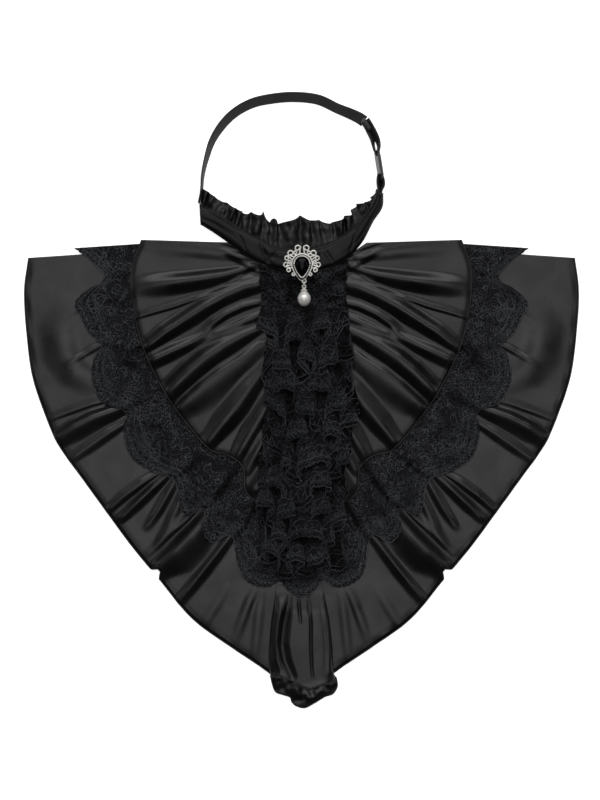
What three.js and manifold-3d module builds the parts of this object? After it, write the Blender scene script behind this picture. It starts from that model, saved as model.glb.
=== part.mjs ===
// A black satin and lace jabot, laid flat on a table with its neck strap opened out above it.
// Millimetres, +Z up, +Y towards the neck, origin on the table under the middle of the garment.
// The cloth is in layers: a deep satin tier below, a scalloped lace edging on it, a shorter satin
// tier over the lace, and a cascade of gathered lace frills down the middle. A satin neck band with
// a standing frill closes them at the top, and a filigree brooch with a pearl drop sits on the band.
import * as THREE from 'three';
import { mergeVertices } from 'three/addons/utils/BufferGeometryUtils.js';
import Module from 'manifold-3d';

// Cloth thicknesses and the gaps kept between pieces
const SATIN = 1.5;
const LACE = 1.2;
const SEAM_GAP = 0.4;
const FOLD_GAP = 0.6;
const SLIT = 1.1;

// Heights above the table at which the layers lie
const LACE_UNDER = SATIN + FOLD_GAP;
const UPPER_AT_NECK = SATIN + SEAM_GAP;
const UPPER_AT_HEM = LACE_UNDER + LACE + SEAM_GAP;
const LACE_TUCK = 7;

// The tiers are gathered onto a narrow U that runs down the middle, so each is drawn by rays.
// share: 0 at the bottom middle, 1 at the top edge. out: distance from the middle line. up: Y.
const BOTTOM_GATHER = [
  { share: 0.0, out: 0.0, up: -87.0 },
  { share: 0.05, out: SLIT, up: -80.0 },
  { share: 0.2, out: SLIT, up: -45.0 },
  { share: 0.4, out: SLIT, up: 12.0 },
  { share: 0.6, out: SLIT, up: 72.0 },
  { share: 0.68, out: 2.7, up: 95.0 },
  { share: 0.76, out: 14.8, up: 103.0 },
  { share: 0.84, out: 27.7, up: 107.5 },
  { share: 0.92, out: 39.1, up: 113.0 },
  { share: 1.0, out: 49.8, up: 119.7 },
];
const BOTTOM_HEM = [
  { share: 0.0, out: 0.0, up: -234.2 },
  { share: 0.02, out: 10.5, up: -228.5 },
  { share: 0.035, out: 21.5, up: -219.0 },
  { share: 0.05, out: 25.0, up: -209.5 },
  { share: 0.12, out: 52.8, up: -189.0 },
  { share: 0.2, out: 83.2, up: -166.8 },
  { share: 0.28, out: 109.1, up: -136.0 },
  { share: 0.36, out: 129.6, up: -111.3 },
  { share: 0.44, out: 148.6, up: -85.5 },
  { share: 0.52, out: 166.8, up: -60.4 },
  { share: 0.6, out: 185.1, up: -34.6 },
  { share: 0.68, out: 195.7, up: -11.0 },
  { share: 0.76, out: 205.6, up: 19.4 },
  { share: 0.84, out: 210.1, up: 53.6 },
  { share: 0.92, out: 211.7, up: 84.0 },
  { share: 1.0, out: 208.6, up: 109.1 },
];
const UPPER_GATHER = [
  { share: 0.0, out: 0.0, up: 0.0 },
  { share: 0.1, out: SLIT, up: 14.0 },
  { share: 0.3, out: SLIT, up: 46.0 },
  { share: 0.4, out: SLIT, up: 67.3 },
  { share: 0.5, out: 2.7, up: 87.8 },
  { share: 0.6, out: 11.0, up: 100.7 },
  { share: 0.7, out: 22.4, up: 106.0 },
  { share: 0.8, out: 31.5, up: 109.8 },
  { share: 0.9, out: 40.7, up: 114.4 },
  { share: 1.0, out: 49.8, up: 120.5 },
];
const UPPER_HEM = [
  { share: 0.0, out: 0.0, up: -104.5 },
  { share: 0.1, out: 30.0, up: -84.7 },
  { share: 0.2, out: 46.0, up: -61.9 },
  { share: 0.3, out: 67.3, up: -39.9 },
  { share: 0.4, out: 84.7, up: -20.9 },
  { share: 0.5, out: 101.5, up: 1.9 },
  { share: 0.6, out: 115.9, up: 28.5 },
  { share: 0.7, out: 124.3, up: 52.1 },
  { share: 0.8, out: 128.8, up: 76.4 },
  { share: 0.9, out: 129.6, up: 100.7 },
  { share: 1.0, out: 122.0, up: 122.7 },
];

// The folds, from the bottom middle outwards and the same on both sides.
// at: share of the ray along the crest. half: half width in shares. rise: height of the crest.
const BOTTOM_FOLDS = [
  { at: 0.1, half: 0.026, rise: 3.0 },
  { at: 0.16, half: 0.024, rise: 3.0 },
  { at: 0.222, half: 0.018, rise: 5.2 },
  { at: 0.287, half: 0.022, rise: 5.8 },
  { at: 0.352, half: 0.018, rise: 4.2 },
  { at: 0.393, half: 0.016, rise: 3.6 },
  { at: 0.43, half: 0.018, rise: 4.4 },
  { at: 0.49, half: 0.022, rise: 2.5 },
  { at: 0.565, half: 0.024, rise: 5.6 },
  { at: 0.65, half: 0.025, rise: 4.8 },
  { at: 0.775, half: 0.036, rise: 3.5 },
  { at: 0.905, half: 0.045, rise: 2.5 },
];
const UPPER_FOLDS = [
  { at: 0.12, half: 0.04, rise: 3.0 },
  { at: 0.215, half: 0.034, rise: 5.2 },
  { at: 0.3, half: 0.032, rise: 5.2 },
  { at: 0.37, half: 0.024, rise: 3.6 },
  { at: 0.445, half: 0.028, rise: 4.8 },
  { at: 0.52, half: 0.031, rise: 5.8 },
  { at: 0.59, half: 0.025, rise: 3.6 },
  { at: 0.69, half: 0.036, rise: 5.6 },
  { at: 0.785, half: 0.038, rise: 5.6 },
  { at: 0.93, half: 0.05, rise: 3.2 },
];
// The band and the cascade press the upper tier's folds flat within these distances
const PRESSED = { flat: 28, free: 58 };

// Scallops of the lace edging, from the top corner to the bottom middle.
// out, up: the dip where a scallop starts. depth: how far it swells beyond the next dip.
const SCALLOPS = [
  { out: 170.6, up: 114.0, depth: -3.0 },
  { out: 149.3, up: 98.4, depth: 18.0 },
  { out: 153.9, up: 42.9, depth: 13.0 },
  { out: 137.2, up: -8.7, depth: 19.0 },
  { out: 94.6, up: -61.2, depth: 15.0 },
  { out: 70.3, up: -84.0, depth: 14.0 },
  { out: 48.3, up: -100.7, depth: 19.0 },
  { out: 15.6, up: -139.5, depth: 8.5 },
  { out: -15.6, up: -139.5, depth: 0.0 },
];
const SCALLOP_STEPS = 10;
const SCALLOP_FULLNESS = 0.7;
const LACE_TOP_LIFT = 5;

// The frills of the lace cascade, from the neck down. half: half width. shift: offset to the right.
const FRILLS = [
  { up: 68.0, half: 33, shift: -1, phase: 0.0 },
  { up: 48.7, half: 35, shift: 0, phase: 1.3 },
  { up: 29.4, half: 34, shift: 1, phase: 2.9 },
  { up: 10.1, half: 36, shift: 1, phase: 4.2 },
  { up: -9.2, half: 37, shift: 3, phase: 0.7 },
  { up: -28.5, half: 38, shift: 2, phase: 2.1 },
  { up: -47.8, half: 37, shift: 0, phase: 3.4 },
  { up: -67.1, half: 36, shift: -1, phase: 5.0 },
  { up: -86.4, half: 34, shift: 0, phase: 1.9 },
  { up: -105.7, half: 30, shift: 0, phase: 3.8 },
];
const FRILL_WAVES = 5;
const FRILL_WAVE_STEPS = 6;
const FRILL_HEIGHT = 6.5;
const FRILL_LEAN = 15;
const FRILL_ROOT_SWING = 1.0;
const FRILL_EDGE_SWING = 3.4;

// The neck band from its left end to its right end: its upper and lower edges and its height
const BAND_EDGES = [
  { share: 0.0, upperX: -77.9, upperY: 149.3, lowerX: -77.1, lowerY: 134.9, rest: 4.6 },
  { share: 0.12, upperX: -66.5, upperY: 144.0, lowerX: -65.0, lowerY: 127.3, rest: 4.8 },
  { share: 0.25, upperX: -49.0, upperY: 132.6, lowerX: -49.8, lowerY: 116.6, rest: 5.6 },
  { share: 0.37, upperX: -30.0, upperY: 122.0, lowerX: -35.3, lowerY: 106.8, rest: 5.7 },
  { share: 0.45, upperX: -17.9, upperY: 116.7, lowerX: -17.9, lowerY: 100.7, rest: 5.5 },
  { share: 0.53, upperX: -1.1, upperY: 115.9, lowerX: -1.1, lowerY: 98.4, rest: 5.5 },
  { share: 0.62, upperX: 15.6, upperY: 118.2, lowerX: 17.9, lowerY: 100.7, rest: 5.5 },
  { share: 0.72, upperX: 31.5, upperY: 125.8, lowerX: 33.1, lowerY: 107.5, rest: 5.7 },
  { share: 0.82, upperX: 42.9, upperY: 135.7, lowerX: 46.0, lowerY: 121.2, rest: 5.4 },
  { share: 0.9, upperX: 52.1, upperY: 146.3, lowerX: 54.0, lowerY: 137.2, rest: 4.8 },
  { share: 1.0, upperX: 59.3, upperY: 157.0, lowerX: 62.3, lowerY: 150.9, rest: 4.6 },
];
const BAND = { thick: 2.0, crown: 1.9, steps: 20, across: 4 };

// The standing frill behind the band: the free edge over the same shares, and how far the
// root lies inside the band's upper edge
const NECK_FRILL_EDGE = [
  { share: 0.0, x: -72.0, y: 161.0 },
  { share: 0.12, x: -62.0, y: 153.0 },
  { share: 0.25, x: -46.0, y: 144.5 },
  { share: 0.37, x: -29.0, y: 141.5 },
  { share: 0.45, x: -18.0, y: 134.5 },
  { share: 0.53, x: -1.0, y: 140.5 },
  { share: 0.62, x: 15.0, y: 136.0 },
  { share: 0.72, x: 30.0, y: 137.5 },
  { share: 0.82, x: 41.5, y: 147.5 },
  { share: 0.9, x: 50.0, y: 152.5 },
  { share: 1.0, x: 57.0, y: 160.0 },
];
const NECK_FRILL = { waves: 20, steps: 5, root: 2.0, drop: 0.6, swing: 4.5 };

// The neck strap, a 9 mm ribbon, from under the band's left end round to the slider.
// lean: degrees that the ribbon stands up from the table.
const STRAP = { width: 9, thick: 1.0, steps: 38 };
const STRAP_ROUTE = [
  { x: -76.0, y: 163.5, lean: 80 },
  { x: -75.0, y: 171.5, lean: 76 },
  { x: -72.5, y: 183.0, lean: 66 },
  { x: -68.0, y: 198.0, lean: 55 },
  { x: -60.5, y: 210.5, lean: 50 },
  { x: -50.5, y: 220.0, lean: 47 },
  { x: -37.5, y: 226.5, lean: 44 },
  { x: -22.0, y: 229.4, lean: 41 },
  { x: -5.0, y: 230.4, lean: 40 },
  { x: 12.5, y: 228.6, lean: 40 },
  { x: 27.5, y: 223.0, lean: 42 },
  { x: 37.5, y: 218.4, lean: 54 },
  { x: 45.5, y: 215.3, lean: 84 },
];
// The adjustable end: a slider, a doubled ribbon, a hook, and the loop on the band's right end
const SLIDER_AT = { x: 49.0, y: 210.0, towards: -58 };
const HOOK_AT = { x: 59.2, y: 179.2, towards: -81 };
const FITTING = { high: 12, thick: 2.6, bar: 1.7, window: 3.0, frame: 1.1 };
const SLIDER_LENGTH = 2 * FITTING.window + 3 * FITTING.bar;
const HOOK_LENGTH = 24;
const LOOP_END = new THREE.Vector3(61.9, 159.1, 0);
const LOOP_RIBBON = { thick: 1.1, low: 1.5, high: 9, inside: 1.9 };

// The brooch, round a teardrop stone with its point down, and the drop below it
const BROOCH = { x: 0.4, y: 104.0, z: 10.6 };
const STONE = { halfWidth: 5.4, up: 5.2, down: 9.6, thick: 2.2 };
const BEZEL = { rim: 2.6, thick: 2.2 };
const SEAT = 0.5;
const WIRE = 0.62;
const WIRE_SIDES = 4;
// Curls of the filigree: turn from the top, distance of the curl from the stone's centre, its
// radius and the way it winds. Each is made on the left and mirrored on the right.
const CURLS = [
  { turn: 14, reach: 13.0, radius: 2.3, wind: 1 },
  { turn: 46, reach: 13.2, radius: 2.1, wind: -1 },
  { turn: 74, reach: 13.4, radius: 1.9, wind: 1 },
  { turn: 99, reach: 13.2, radius: 2.0, wind: -1 },
  { turn: 127, reach: 12.6, radius: 1.8, wind: 1 },
  { turn: 156, reach: 13.4, radius: 1.5, wind: -1 },
];
const CURL_SWEEP = 300;
const CURL_STEPS = 8;
const BEAD = 0.95;

const DROP_X = 2.0;
const EYE = { y: 90.9, radius: 1.5, wire: 0.45 };
const LINK = { radius: 1.85, wire: 0.4 };
const CAP_EYE = { radius: 1.3, wire: 0.4 };
const RING_CLEARANCE = 0.38;
const PEARL = { halfWidth: 5.2, length: 12.4 };
const CAP = { radius: 2.3, length: 1.9 };

const wasm = await Module();
wasm.setup();

const V = (x, y, z) => new THREE.Vector3(x, y, z);
const degrees = THREE.MathUtils.degToRad;
const blend = THREE.MathUtils.lerp;
const clamp = THREE.MathUtils.clamp;

// A smooth value of one column of a table at a share, with Catmull-Rom slopes
function readTable(rows, column, share) {
  const last = rows.length - 1;
  let i = 0;
  while (i < last - 1 && share > rows[i + 1].share) i += 1;
  const slope = (k) => {
    const a = rows[Math.max(k - 1, 0)];
    const b = rows[Math.min(k + 1, last)];
    return (b[column] - a[column]) / (b.share - a.share);
  };
  const span = rows[i + 1].share - rows[i].share;
  const t = clamp((share - rows[i].share) / span, 0, 1);
  const t2 = t * t;
  const t3 = t2 * t;
  return (2 * t3 - 3 * t2 + 1) * rows[i][column] + (t3 - 2 * t2 + t) * span * slope(i)
    + (3 * t2 - 2 * t3) * rows[i + 1][column] + (t3 - t2) * span * slope(i + 1);
}

// A closed body between two grids of points, [column][row], one lying over the other
function bodyBetween(under, over) {
  const columns = under.length;
  const rows = under[0].length;
  const positions = [];
  for (const grid of [under, over]) {
    for (const column of grid) for (const p of column) positions.push(p.x, p.y, p.z);
  }
  const low = (i, j) => i * rows + j;
  const high = (i, j) => columns * rows + i * rows + j;
  const faces = [];
  const quad = (a, b, c, d) => faces.push(a, b, c, a, c, d);
  for (let i = 0; i < columns - 1; i += 1) {
    for (let j = 0; j < rows - 1; j += 1) {
      quad(low(i, j), low(i, j + 1), low(i + 1, j + 1), low(i + 1, j));
      faces.push(high(i, j), high(i + 1, j + 1), high(i, j + 1));
      faces.push(high(i, j), high(i + 1, j), high(i + 1, j + 1));
    }
    quad(low(i, 0), low(i + 1, 0), high(i + 1, 0), high(i, 0));
    quad(low(i + 1, rows - 1), low(i, rows - 1), high(i, rows - 1), high(i + 1, rows - 1));
  }
  for (let j = 0; j < rows - 1; j += 1) {
    quad(low(0, j + 1), low(0, j), high(0, j), high(0, j + 1));
    const end = columns - 1;
    quad(low(end, j), low(end, j + 1), high(end, j + 1), high(end, j));
  }
  const geometry = new THREE.BufferGeometry();
  geometry.setAttribute('position', new THREE.Float32BufferAttribute(positions, 3));
  geometry.setIndex(signedVolume(positions, faces) < 0 ? faces.reverse() : faces);
  return geometry;
}

function signedVolume(positions, faces) {
  const at = (k) => V(positions[3 * k], positions[3 * k + 1], positions[3 * k + 2]);
  let six = 0;
  for (let f = 0; f < faces.length; f += 3) {
    six += at(faces[f]).dot(at(faces[f + 1]).cross(at(faces[f + 2])));
  }
  return six;
}

// The same grid moved straight up, which gives a laid sheet its thickness
const raised = (grid, by) => grid.map((column) => column.map((p) => V(p.x, p.y, p.z + by)));

// A point in plan on a tier's ray: side is -1 on the left and 1 on the right
function rayPoint(tier, share, side, along) {
  const read = (rows, column) => readTable(rows, column, share);
  const out = blend(read(tier.gather, 'out'), read(tier.hem, 'out'), along);
  const up = blend(read(tier.gather, 'up'), read(tier.hem, 'up'), along);
  return { x: side * out, y: up };
}

// Height of the folds at a share, as if all were at full height
function foldHeight(folds, share) {
  let height = 0;
  for (const fold of folds) {
    const d = Math.abs(share - fold.at) / fold.half;
    if (d < 1) height += fold.rise * 0.5 * (1 + Math.cos(Math.PI * d));
  }
  return height;
}

// How far along a tier's ray a closed or open outline is crossed, the farthest crossing
function crossing(tier, share, outline) {
  const a = rayPoint(tier, share, 1, 0);
  const b = rayPoint(tier, share, 1, 1);
  let found = 0;
  for (let i = 0; i < outline.length - 1; i += 1) {
    const c = outline[i];
    const d = outline[i + 1];
    const cross = (b.x - a.x) * (d.y - c.y) - (b.y - a.y) * (d.x - c.x);
    const t = ((c.x - a.x) * (d.y - c.y) - (c.y - a.y) * (d.x - c.x)) / cross;
    const u = ((c.x - a.x) * (b.y - a.y) - (c.y - a.y) * (b.x - a.x)) / cross;
    if (u >= -0.001 && u <= 1.001 && t > found) found = t;
  }
  return found;
}

// The share and the place along its ray of a point in plan, found by halving the shares
function locate(tier, x, y) {
  const out = Math.abs(x);
  let low = 0;
  let high = 1;
  const sideOf = (share) => {
    const a = rayPoint(tier, share, 1, 0);
    const b = rayPoint(tier, share, 1, 1);
    return (b.x - a.x) * (y - a.y) - (b.y - a.y) * (out - a.x);
  };
  for (let k = 0; k < 26; k += 1) {
    const middle = (low + high) / 2;
    if (sideOf(middle) > 0) low = middle;
    else high = middle;
  }
  const a = rayPoint(tier, low, 1, 0);
  const b = rayPoint(tier, low, 1, 1);
  const length2 = (b.x - a.x) ** 2 + (b.y - a.y) ** 2;
  const along = ((out - a.x) * (b.x - a.x) + (y - a.y) * (b.y - a.y)) / length2;
  return { share: low, along: clamp(along, 0, 1) };
}

const bottomTier = { gather: BOTTOM_GATHER, hem: BOTTOM_HEM };
const upperTier = { gather: UPPER_GATHER, hem: UPPER_HEM };

const upperHemLine = [];
for (let k = 0; k <= 80; k += 1) upperHemLine.push(rayPoint(upperTier, k / 80, 1, 1));

// Where along the bottom tier's ray the folds start: just past the upper tier's hem
const foldStart = (share) => Math.min(crossing(bottomTier, share, upperHemLine) + 0.02, 0.8);

// Underside of the bottom tier, flat on the table between its folds
function bottomUnder(share, along) {
  const start = foldStart(share);
  return foldHeight(BOTTOM_FOLDS, share) * clamp((along - start) / (1 - start), 0, 1);
}

// Underside of the upper tier: its folds widen and rise from the gathers to the hem
function upperUnder(share, along) {
  const rest = blend(UPPER_AT_NECK, UPPER_AT_HEM, Math.min(1, along / 0.8));
  const out = rayPoint(upperTier, share, 1, along).x;
  const free = THREE.MathUtils.smoothstep(out, PRESSED.flat, PRESSED.free);
  return rest + foldHeight(UPPER_FOLDS, share) * along * free;
}

// Shares at which rays are drawn: five to a fold, and no gap wider than the widest
function rayShares(folds, widest, extra = []) {
  const shares = [0, 1, ...extra];
  for (const fold of folds) {
    for (const k of [-1, -0.5, 0, 0.5, 1]) shares.push(fold.at + k * fold.half);
  }
  shares.sort((a, b) => a - b);
  const kept = [0];
  for (const share of shares) {
    const before = kept[kept.length - 1];
    if (share - before < 0.007 || share > 1) continue;
    const fill = Math.ceil((share - before) / widest);
    for (let k = 1; k <= fill; k += 1) kept.push(blend(before, share, k / fill));
  }
  return kept;
}

// Both sides of a tier as one run of rays, from the left top edge round to the right
function bothSides(shares) {
  const left = [...shares].reverse().map((share) => ({ share, side: -1 }));
  const right = shares.slice(1).map((share) => ({ share, side: 1 }));
  return [...left, ...right];
}

function scallopOutline() {
  const points = [];
  for (let i = 0; i < SCALLOPS.length - 1; i += 1) {
    const a = SCALLOPS[i];
    const b = SCALLOPS[i + 1];
    const chord = Math.hypot(b.out - a.out, b.up - a.up);
    const normal = { x: -(b.up - a.up) / chord, y: (b.out - a.out) / chord };
    for (let k = 0; k < SCALLOP_STEPS; k += 1) {
      const t = k / SCALLOP_STEPS;
      const swell = a.depth * Math.sin(Math.PI * t) ** SCALLOP_FULLNESS;
      points.push({
        x: blend(a.out, b.out, t) + normal.x * swell,
        y: blend(a.up, b.up, t) + normal.y * swell,
      });
    }
  }
  return points;
}

const scallopLine = scallopOutline();
const dipShares = SCALLOPS.slice(1, -1).map((dip) => locate(bottomTier, dip.out, dip.up).share);
const bottomShares = rayShares(BOTTOM_FOLDS, 0.022, dipShares);
const bottomRays = bothSides(bottomShares);

function bottomTierBody() {
  const under = bottomRays.map(({ share, side }) => {
    const start = foldStart(share);
    const stops = [0, start, blend(start, 1, 0.5), 1];
    return stops.map((along) => {
      const p = rayPoint(bottomTier, share, side, along);
      return V(p.x, p.y, bottomUnder(share, along));
    });
  });
  return bodyBetween(under, raised(under, SATIN));
}

function laceEdgingBody() {
  const under = bottomRays.map(({ share, side }) => {
    const a = rayPoint(bottomTier, share, 1, 0);
    const b = rayPoint(bottomTier, share, 1, 1);
    const length = Math.hypot(b.x - a.x, b.y - a.y);
    const inner = crossing(bottomTier, share, upperHemLine) - LACE_TUCK / length;
    const outer = Math.max(crossing(bottomTier, share, scallopLine), inner + 2 * LACE_TUCK / length);
    const lift = LACE_TOP_LIFT * THREE.MathUtils.smoothstep(share, 0.9, 1);
    const start = Math.min(foldStart(share), blend(inner, outer, 0.5));
    return [inner, start, outer].map((along) => {
      const p = rayPoint(bottomTier, share, side, along);
      return V(p.x, p.y + lift, bottomUnder(share, along) + LACE_UNDER);
    });
  });
  return bodyBetween(under, raised(under, LACE));
}

function upperTierBody() {
  const rays = bothSides(rayShares(UPPER_FOLDS, 0.03));
  const under = rays.map(({ share, side }) => {
    return [0, 0.2, 0.42, 0.7, 1].map((along) => {
      const p = rayPoint(upperTier, share, side, along);
      return V(p.x, p.y, upperUnder(share, along));
    });
  });
  return bodyBetween(under, raised(under, SATIN));
}

// The stretch of the bottom tier that is folded over itself at the point of the jabot
const PLEAT = { top: -151, bottom: -214, dip: 6, rise: 4.6, ridges: 3, columns: 18, rows: 4 };
const PLEAT_WIDTHS = [
  { share: 0.0, half: 16.5 },
  { share: 0.35, half: 21.5 },
  { share: 0.7, half: 24.5 },
  { share: 1.0, half: 24.0 },
];
function centrePleatBody() {
  const under = [];
  for (let i = 0; i <= PLEAT.columns; i += 1) {
    const across = blend(-1, 1, i / PLEAT.columns);
    const column = [];
    for (let j = 0; j <= PLEAT.rows; j += 1) {
      const down = j / PLEAT.rows;
      const half = readTable(PLEAT_WIDTHS, 'half', down);
      const hem = PLEAT.dip * (1 - across * across) * down;
      const ridge = 0.8 * Math.cos(across * Math.PI * PLEAT.ridges) * (1 - across ** 2);
      const height = PLEAT.rise * (1 - across ** 6) + ridge;
      const y = blend(PLEAT.top, PLEAT.bottom, down) - hem;
      column.push(V(across * half, y, SATIN + SEAM_GAP + Math.max(0, height)));
    }
    under.push(column);
  }
  return bodyBetween(under, raised(under, SATIN));
}

// Top of the upper tier near a point, the highest within a small reach
function upperTop(x, y, reach = 2.5) {
  let top = 0;
  for (const [dx, dy] of [[0, 0], [reach, 0], [-reach, 0], [0, reach], [0, -reach]]) {
    const { share, along } = locate(upperTier, x + dx, y + dy);
    top = Math.max(top, upperUnder(share, along) + SATIN);
  }
  return top;
}

// Two grids either side of a middle surface, moved apart along its own normals
function thicken(middle, thick) {
  const end = middle.length - 1;
  const rows = middle[0].length - 1;
  const normals = middle.map((column, i) => column.map((p, j) => {
    const along = middle[Math.min(i + 1, end)][j].clone().sub(middle[Math.max(i - 1, 0)][j]);
    const down = column[Math.min(j + 1, rows)].clone().sub(column[Math.max(j - 1, 0)]);
    return along.cross(down).normalize();
  }));
  return [-0.5, 0.5].map((half) => middle.map((column, i) => (
    column.map((p, j) => p.clone().addScaledVector(normals[i][j], half * thick)))));
}

// One gathered lace frill: it stands on a nearly straight root and its free edge waves
function frillBody({ up, half, shift, phase }) {
  const columns = FRILL_WAVES * FRILL_WAVE_STEPS;
  const middle = [];
  for (let i = 0; i <= columns; i += 1) {
    const t = i / columns;
    const angle = 2 * Math.PI * FRILL_WAVES * t + phase;
    const x = shift + blend(-half, half, t);
    const tuck = 1 - 0.45 * Math.abs(2 * t - 1) ** 3;
    const root = V(x, up + FRILL_ROOT_SWING * Math.sin(angle), 0);
    root.z = upperTop(root.x, root.y, 4) + SEAM_GAP + LACE / 2 + 0.5 * (2 * t - 1) ** 2;
    const edge = V(x * 1.04, up - FRILL_LEAN * tuck + FRILL_EDGE_SWING * Math.sin(angle), 0);
    edge.z = Math.max(root.z, upperTop(edge.x, edge.y)) + FRILL_HEIGHT * tuck;
    middle.push([root, edge]);
  }
  return bodyBetween(...thicken(middle, LACE));
}

// The smooth lace under the band, from which the cascade falls
const FALL = { half: 37, bottom: 75.5, columns: 20, rows: 3, wave: 0.6, waves: 7, tuck: 2.4 };
function laceFallBody() {
  const under = [];
  for (let i = 0; i <= FALL.columns; i += 1) {
    const across = blend(-1, 1, i / FALL.columns);
    const topX = across * FALL.half;
    const topY = bandLowerY(topX) + FALL.tuck;
    const column = [];
    for (let j = 0; j <= FALL.rows; j += 1) {
      const down = j / FALL.rows;
      const x = topX * blend(1, 0.9, down);
      const y = blend(topY, FALL.bottom + 4 * across * across, down);
      const ripple = FALL.wave * (1 - Math.cos(across * Math.PI * FALL.waves)) * down;
      const beside = THREE.MathUtils.smoothstep(Math.abs(x), 6, 14);
      const clear = SEAM_GAP + 0.15 * across ** 4;
      column.push(V(x, y, upperTop(x, y, 1 + 4 * down) + clear + ripple * beside));
    }
    under.push(column);
  }
  return bodyBetween(under, raised(under, LACE));
}

function bandLowerY(x) {
  let nearest = BAND_EDGES[0];
  let y = nearest.lowerY;
  for (let k = 0; k <= 200; k += 1) {
    const share = k / 200;
    const lowerX = readTable(BAND_EDGES, 'lowerX', share);
    if (Math.abs(lowerX - x) < Math.abs(nearest.lowerX - x)) {
      nearest = { lowerX };
      y = readTable(BAND_EDGES, 'lowerY', share);
    }
  }
  return y;
}

// The band is an arch of folded satin: its long edges lie low and its middle stands up
function neckBandBody() {
  const under = [];
  for (let i = 0; i <= BAND.steps; i += 1) {
    const share = i / BAND.steps;
    const read = (column) => readTable(BAND_EDGES, column, share);
    const upper = V(read('upperX'), read('upperY'), read('rest'));
    const lower = V(read('lowerX'), read('lowerY'), read('rest'));
    const column = [];
    for (let j = 0; j <= BAND.across; j += 1) {
      const t = j / BAND.across;
      const arch = V(0, 0, BAND.crown * Math.sin(Math.PI * t));
      column.push(upper.clone().lerp(lower, t).add(arch));
    }
    under.push(column);
  }
  return bodyBetween(under, raised(under, BAND.thick));
}

function neckFrillBody() {
  const columns = NECK_FRILL.waves * NECK_FRILL.steps;
  const under = [];
  for (let i = 0; i <= columns; i += 1) {
    const share = i / columns;
    const read = (rows, column) => readTable(rows, column, share);
    const upper = V(read(BAND_EDGES, 'upperX'), read(BAND_EDGES, 'upperY'), 0);
    const lower = V(read(BAND_EDGES, 'lowerX'), read(BAND_EDGES, 'lowerY'), 0);
    const root = upper.clone().lerp(lower, NECK_FRILL.root / upper.distanceTo(lower));
    root.z = read(BAND_EDGES, 'rest') - SEAM_GAP - LACE - NECK_FRILL.drop;
    const wave = 0.5 * (1 - Math.cos(2 * Math.PI * NECK_FRILL.waves * share));
    const edge = V(read(NECK_FRILL_EDGE, 'x'), read(NECK_FRILL_EDGE, 'y'), NECK_FRILL.swing * wave);
    under.push([root, edge]);
  }
  return bodyBetween(under, raised(under, LACE));
}

// The ribbon of the neck strap, its lower edge on the table and leaning out from the neck
function neckStrapBody() {
  const path = new THREE.CatmullRomCurve3(STRAP_ROUTE.map(({ x, y }) => V(x, y, 0)));
  const leans = STRAP_ROUTE.map(({ lean }, i) => ({ share: i / (STRAP_ROUTE.length - 1), lean }));
  const under = [];
  const over = [];
  for (let i = 0; i <= STRAP.steps; i += 1) {
    const t = i / STRAP.steps;
    const centre = path.getPoint(t);
    const run = path.getTangent(t).normalize();
    const outward = V(-run.y, run.x, 0);
    const lean = degrees(readTable(leans, 'lean', t));
    const across = outward.clone().multiplyScalar(Math.cos(lean)).add(V(0, 0, Math.sin(lean)));
    const face = outward.clone().multiplyScalar(-Math.sin(lean)).add(V(0, 0, Math.cos(lean)));
    const rest = STRAP.width / 2 * Math.sin(lean) + STRAP.thick / 2 * Math.cos(lean);
    const at = (w, h) => centre.clone().addScaledVector(across, w * STRAP.width / 2)
      .addScaledVector(face, h * STRAP.thick / 2).add(V(0, 0, rest));
    under.push([at(-1, -1), at(1, -1)]);
    over.push([at(-1, 1), at(1, 1)]);
  }
  return bodyBetween(under, over);
}

// A flat ring standing on edge: its side view is a bar with windows for the ribbon
function fittingBody(length, windows) {
  const side = new THREE.Shape();
  const round = 1.2;
  side.moveTo(-length / 2 + round, 0);
  side.lineTo(length / 2 - round, 0);
  side.quadraticCurveTo(length / 2, 0, length / 2, round);
  side.lineTo(length / 2, FITTING.high - round);
  side.quadraticCurveTo(length / 2, FITTING.high, length / 2 - round, FITTING.high);
  side.lineTo(-length / 2 + round, FITTING.high);
  side.quadraticCurveTo(-length / 2, FITTING.high, -length / 2, FITTING.high - round);
  side.lineTo(-length / 2, round);
  side.quadraticCurveTo(-length / 2, 0, -length / 2 + round, 0);
  const plate = new THREE.ExtrudeGeometry(side, {
    depth: FITTING.thick, bevelEnabled: false, curveSegments: 3,
  });
  plate.translate(0, 0, -FITTING.thick / 2);
  let solid = closedSolid(plate);
  for (const from of windows) {
    const hole = new THREE.BoxGeometry(FITTING.window, FITTING.high - 2 * FITTING.frame, 9);
    hole.translate(from + FITTING.window / 2, FITTING.high / 2, 0);
    solid = solid.subtract(closedSolid(hole));
  }
  const geometry = solidGeometry(solid);
  geometry.rotateX(Math.PI / 2);
  return geometry;
}

// Slots for a fitting's windows, each a bar's width in from the end it belongs to
const windowsOf = (length) => [
  -length / 2 + FITTING.bar,
  length / 2 - FITTING.bar - FITTING.window,
];

// A doubled ribbon standing on edge, closed round a bar at each end
function ribbonLoopBody(from, to) {
  const { thick, low, high, inside } = LOOP_RIBBON;
  const run = to.clone().sub(from);
  const length = run.length();
  const outline = (radius) => {
    const shape = new THREE.Shape();
    shape.absarc(length, 0, radius, -Math.PI / 2, Math.PI / 2, false);
    shape.absarc(0, 0, radius, Math.PI / 2, 1.5 * Math.PI, false);
    shape.closePath();
    return shape;
  };
  const ring = outline(inside + thick);
  ring.holes.push(new THREE.Path(outline(inside).getPoints(6)));
  const geometry = new THREE.ExtrudeGeometry(ring, {
    depth: high, bevelEnabled: false, curveSegments: 6,
  });
  geometry.rotateZ(Math.atan2(run.y, run.x));
  geometry.translate(from.x, from.y, low);
  return geometry;
}

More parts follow.
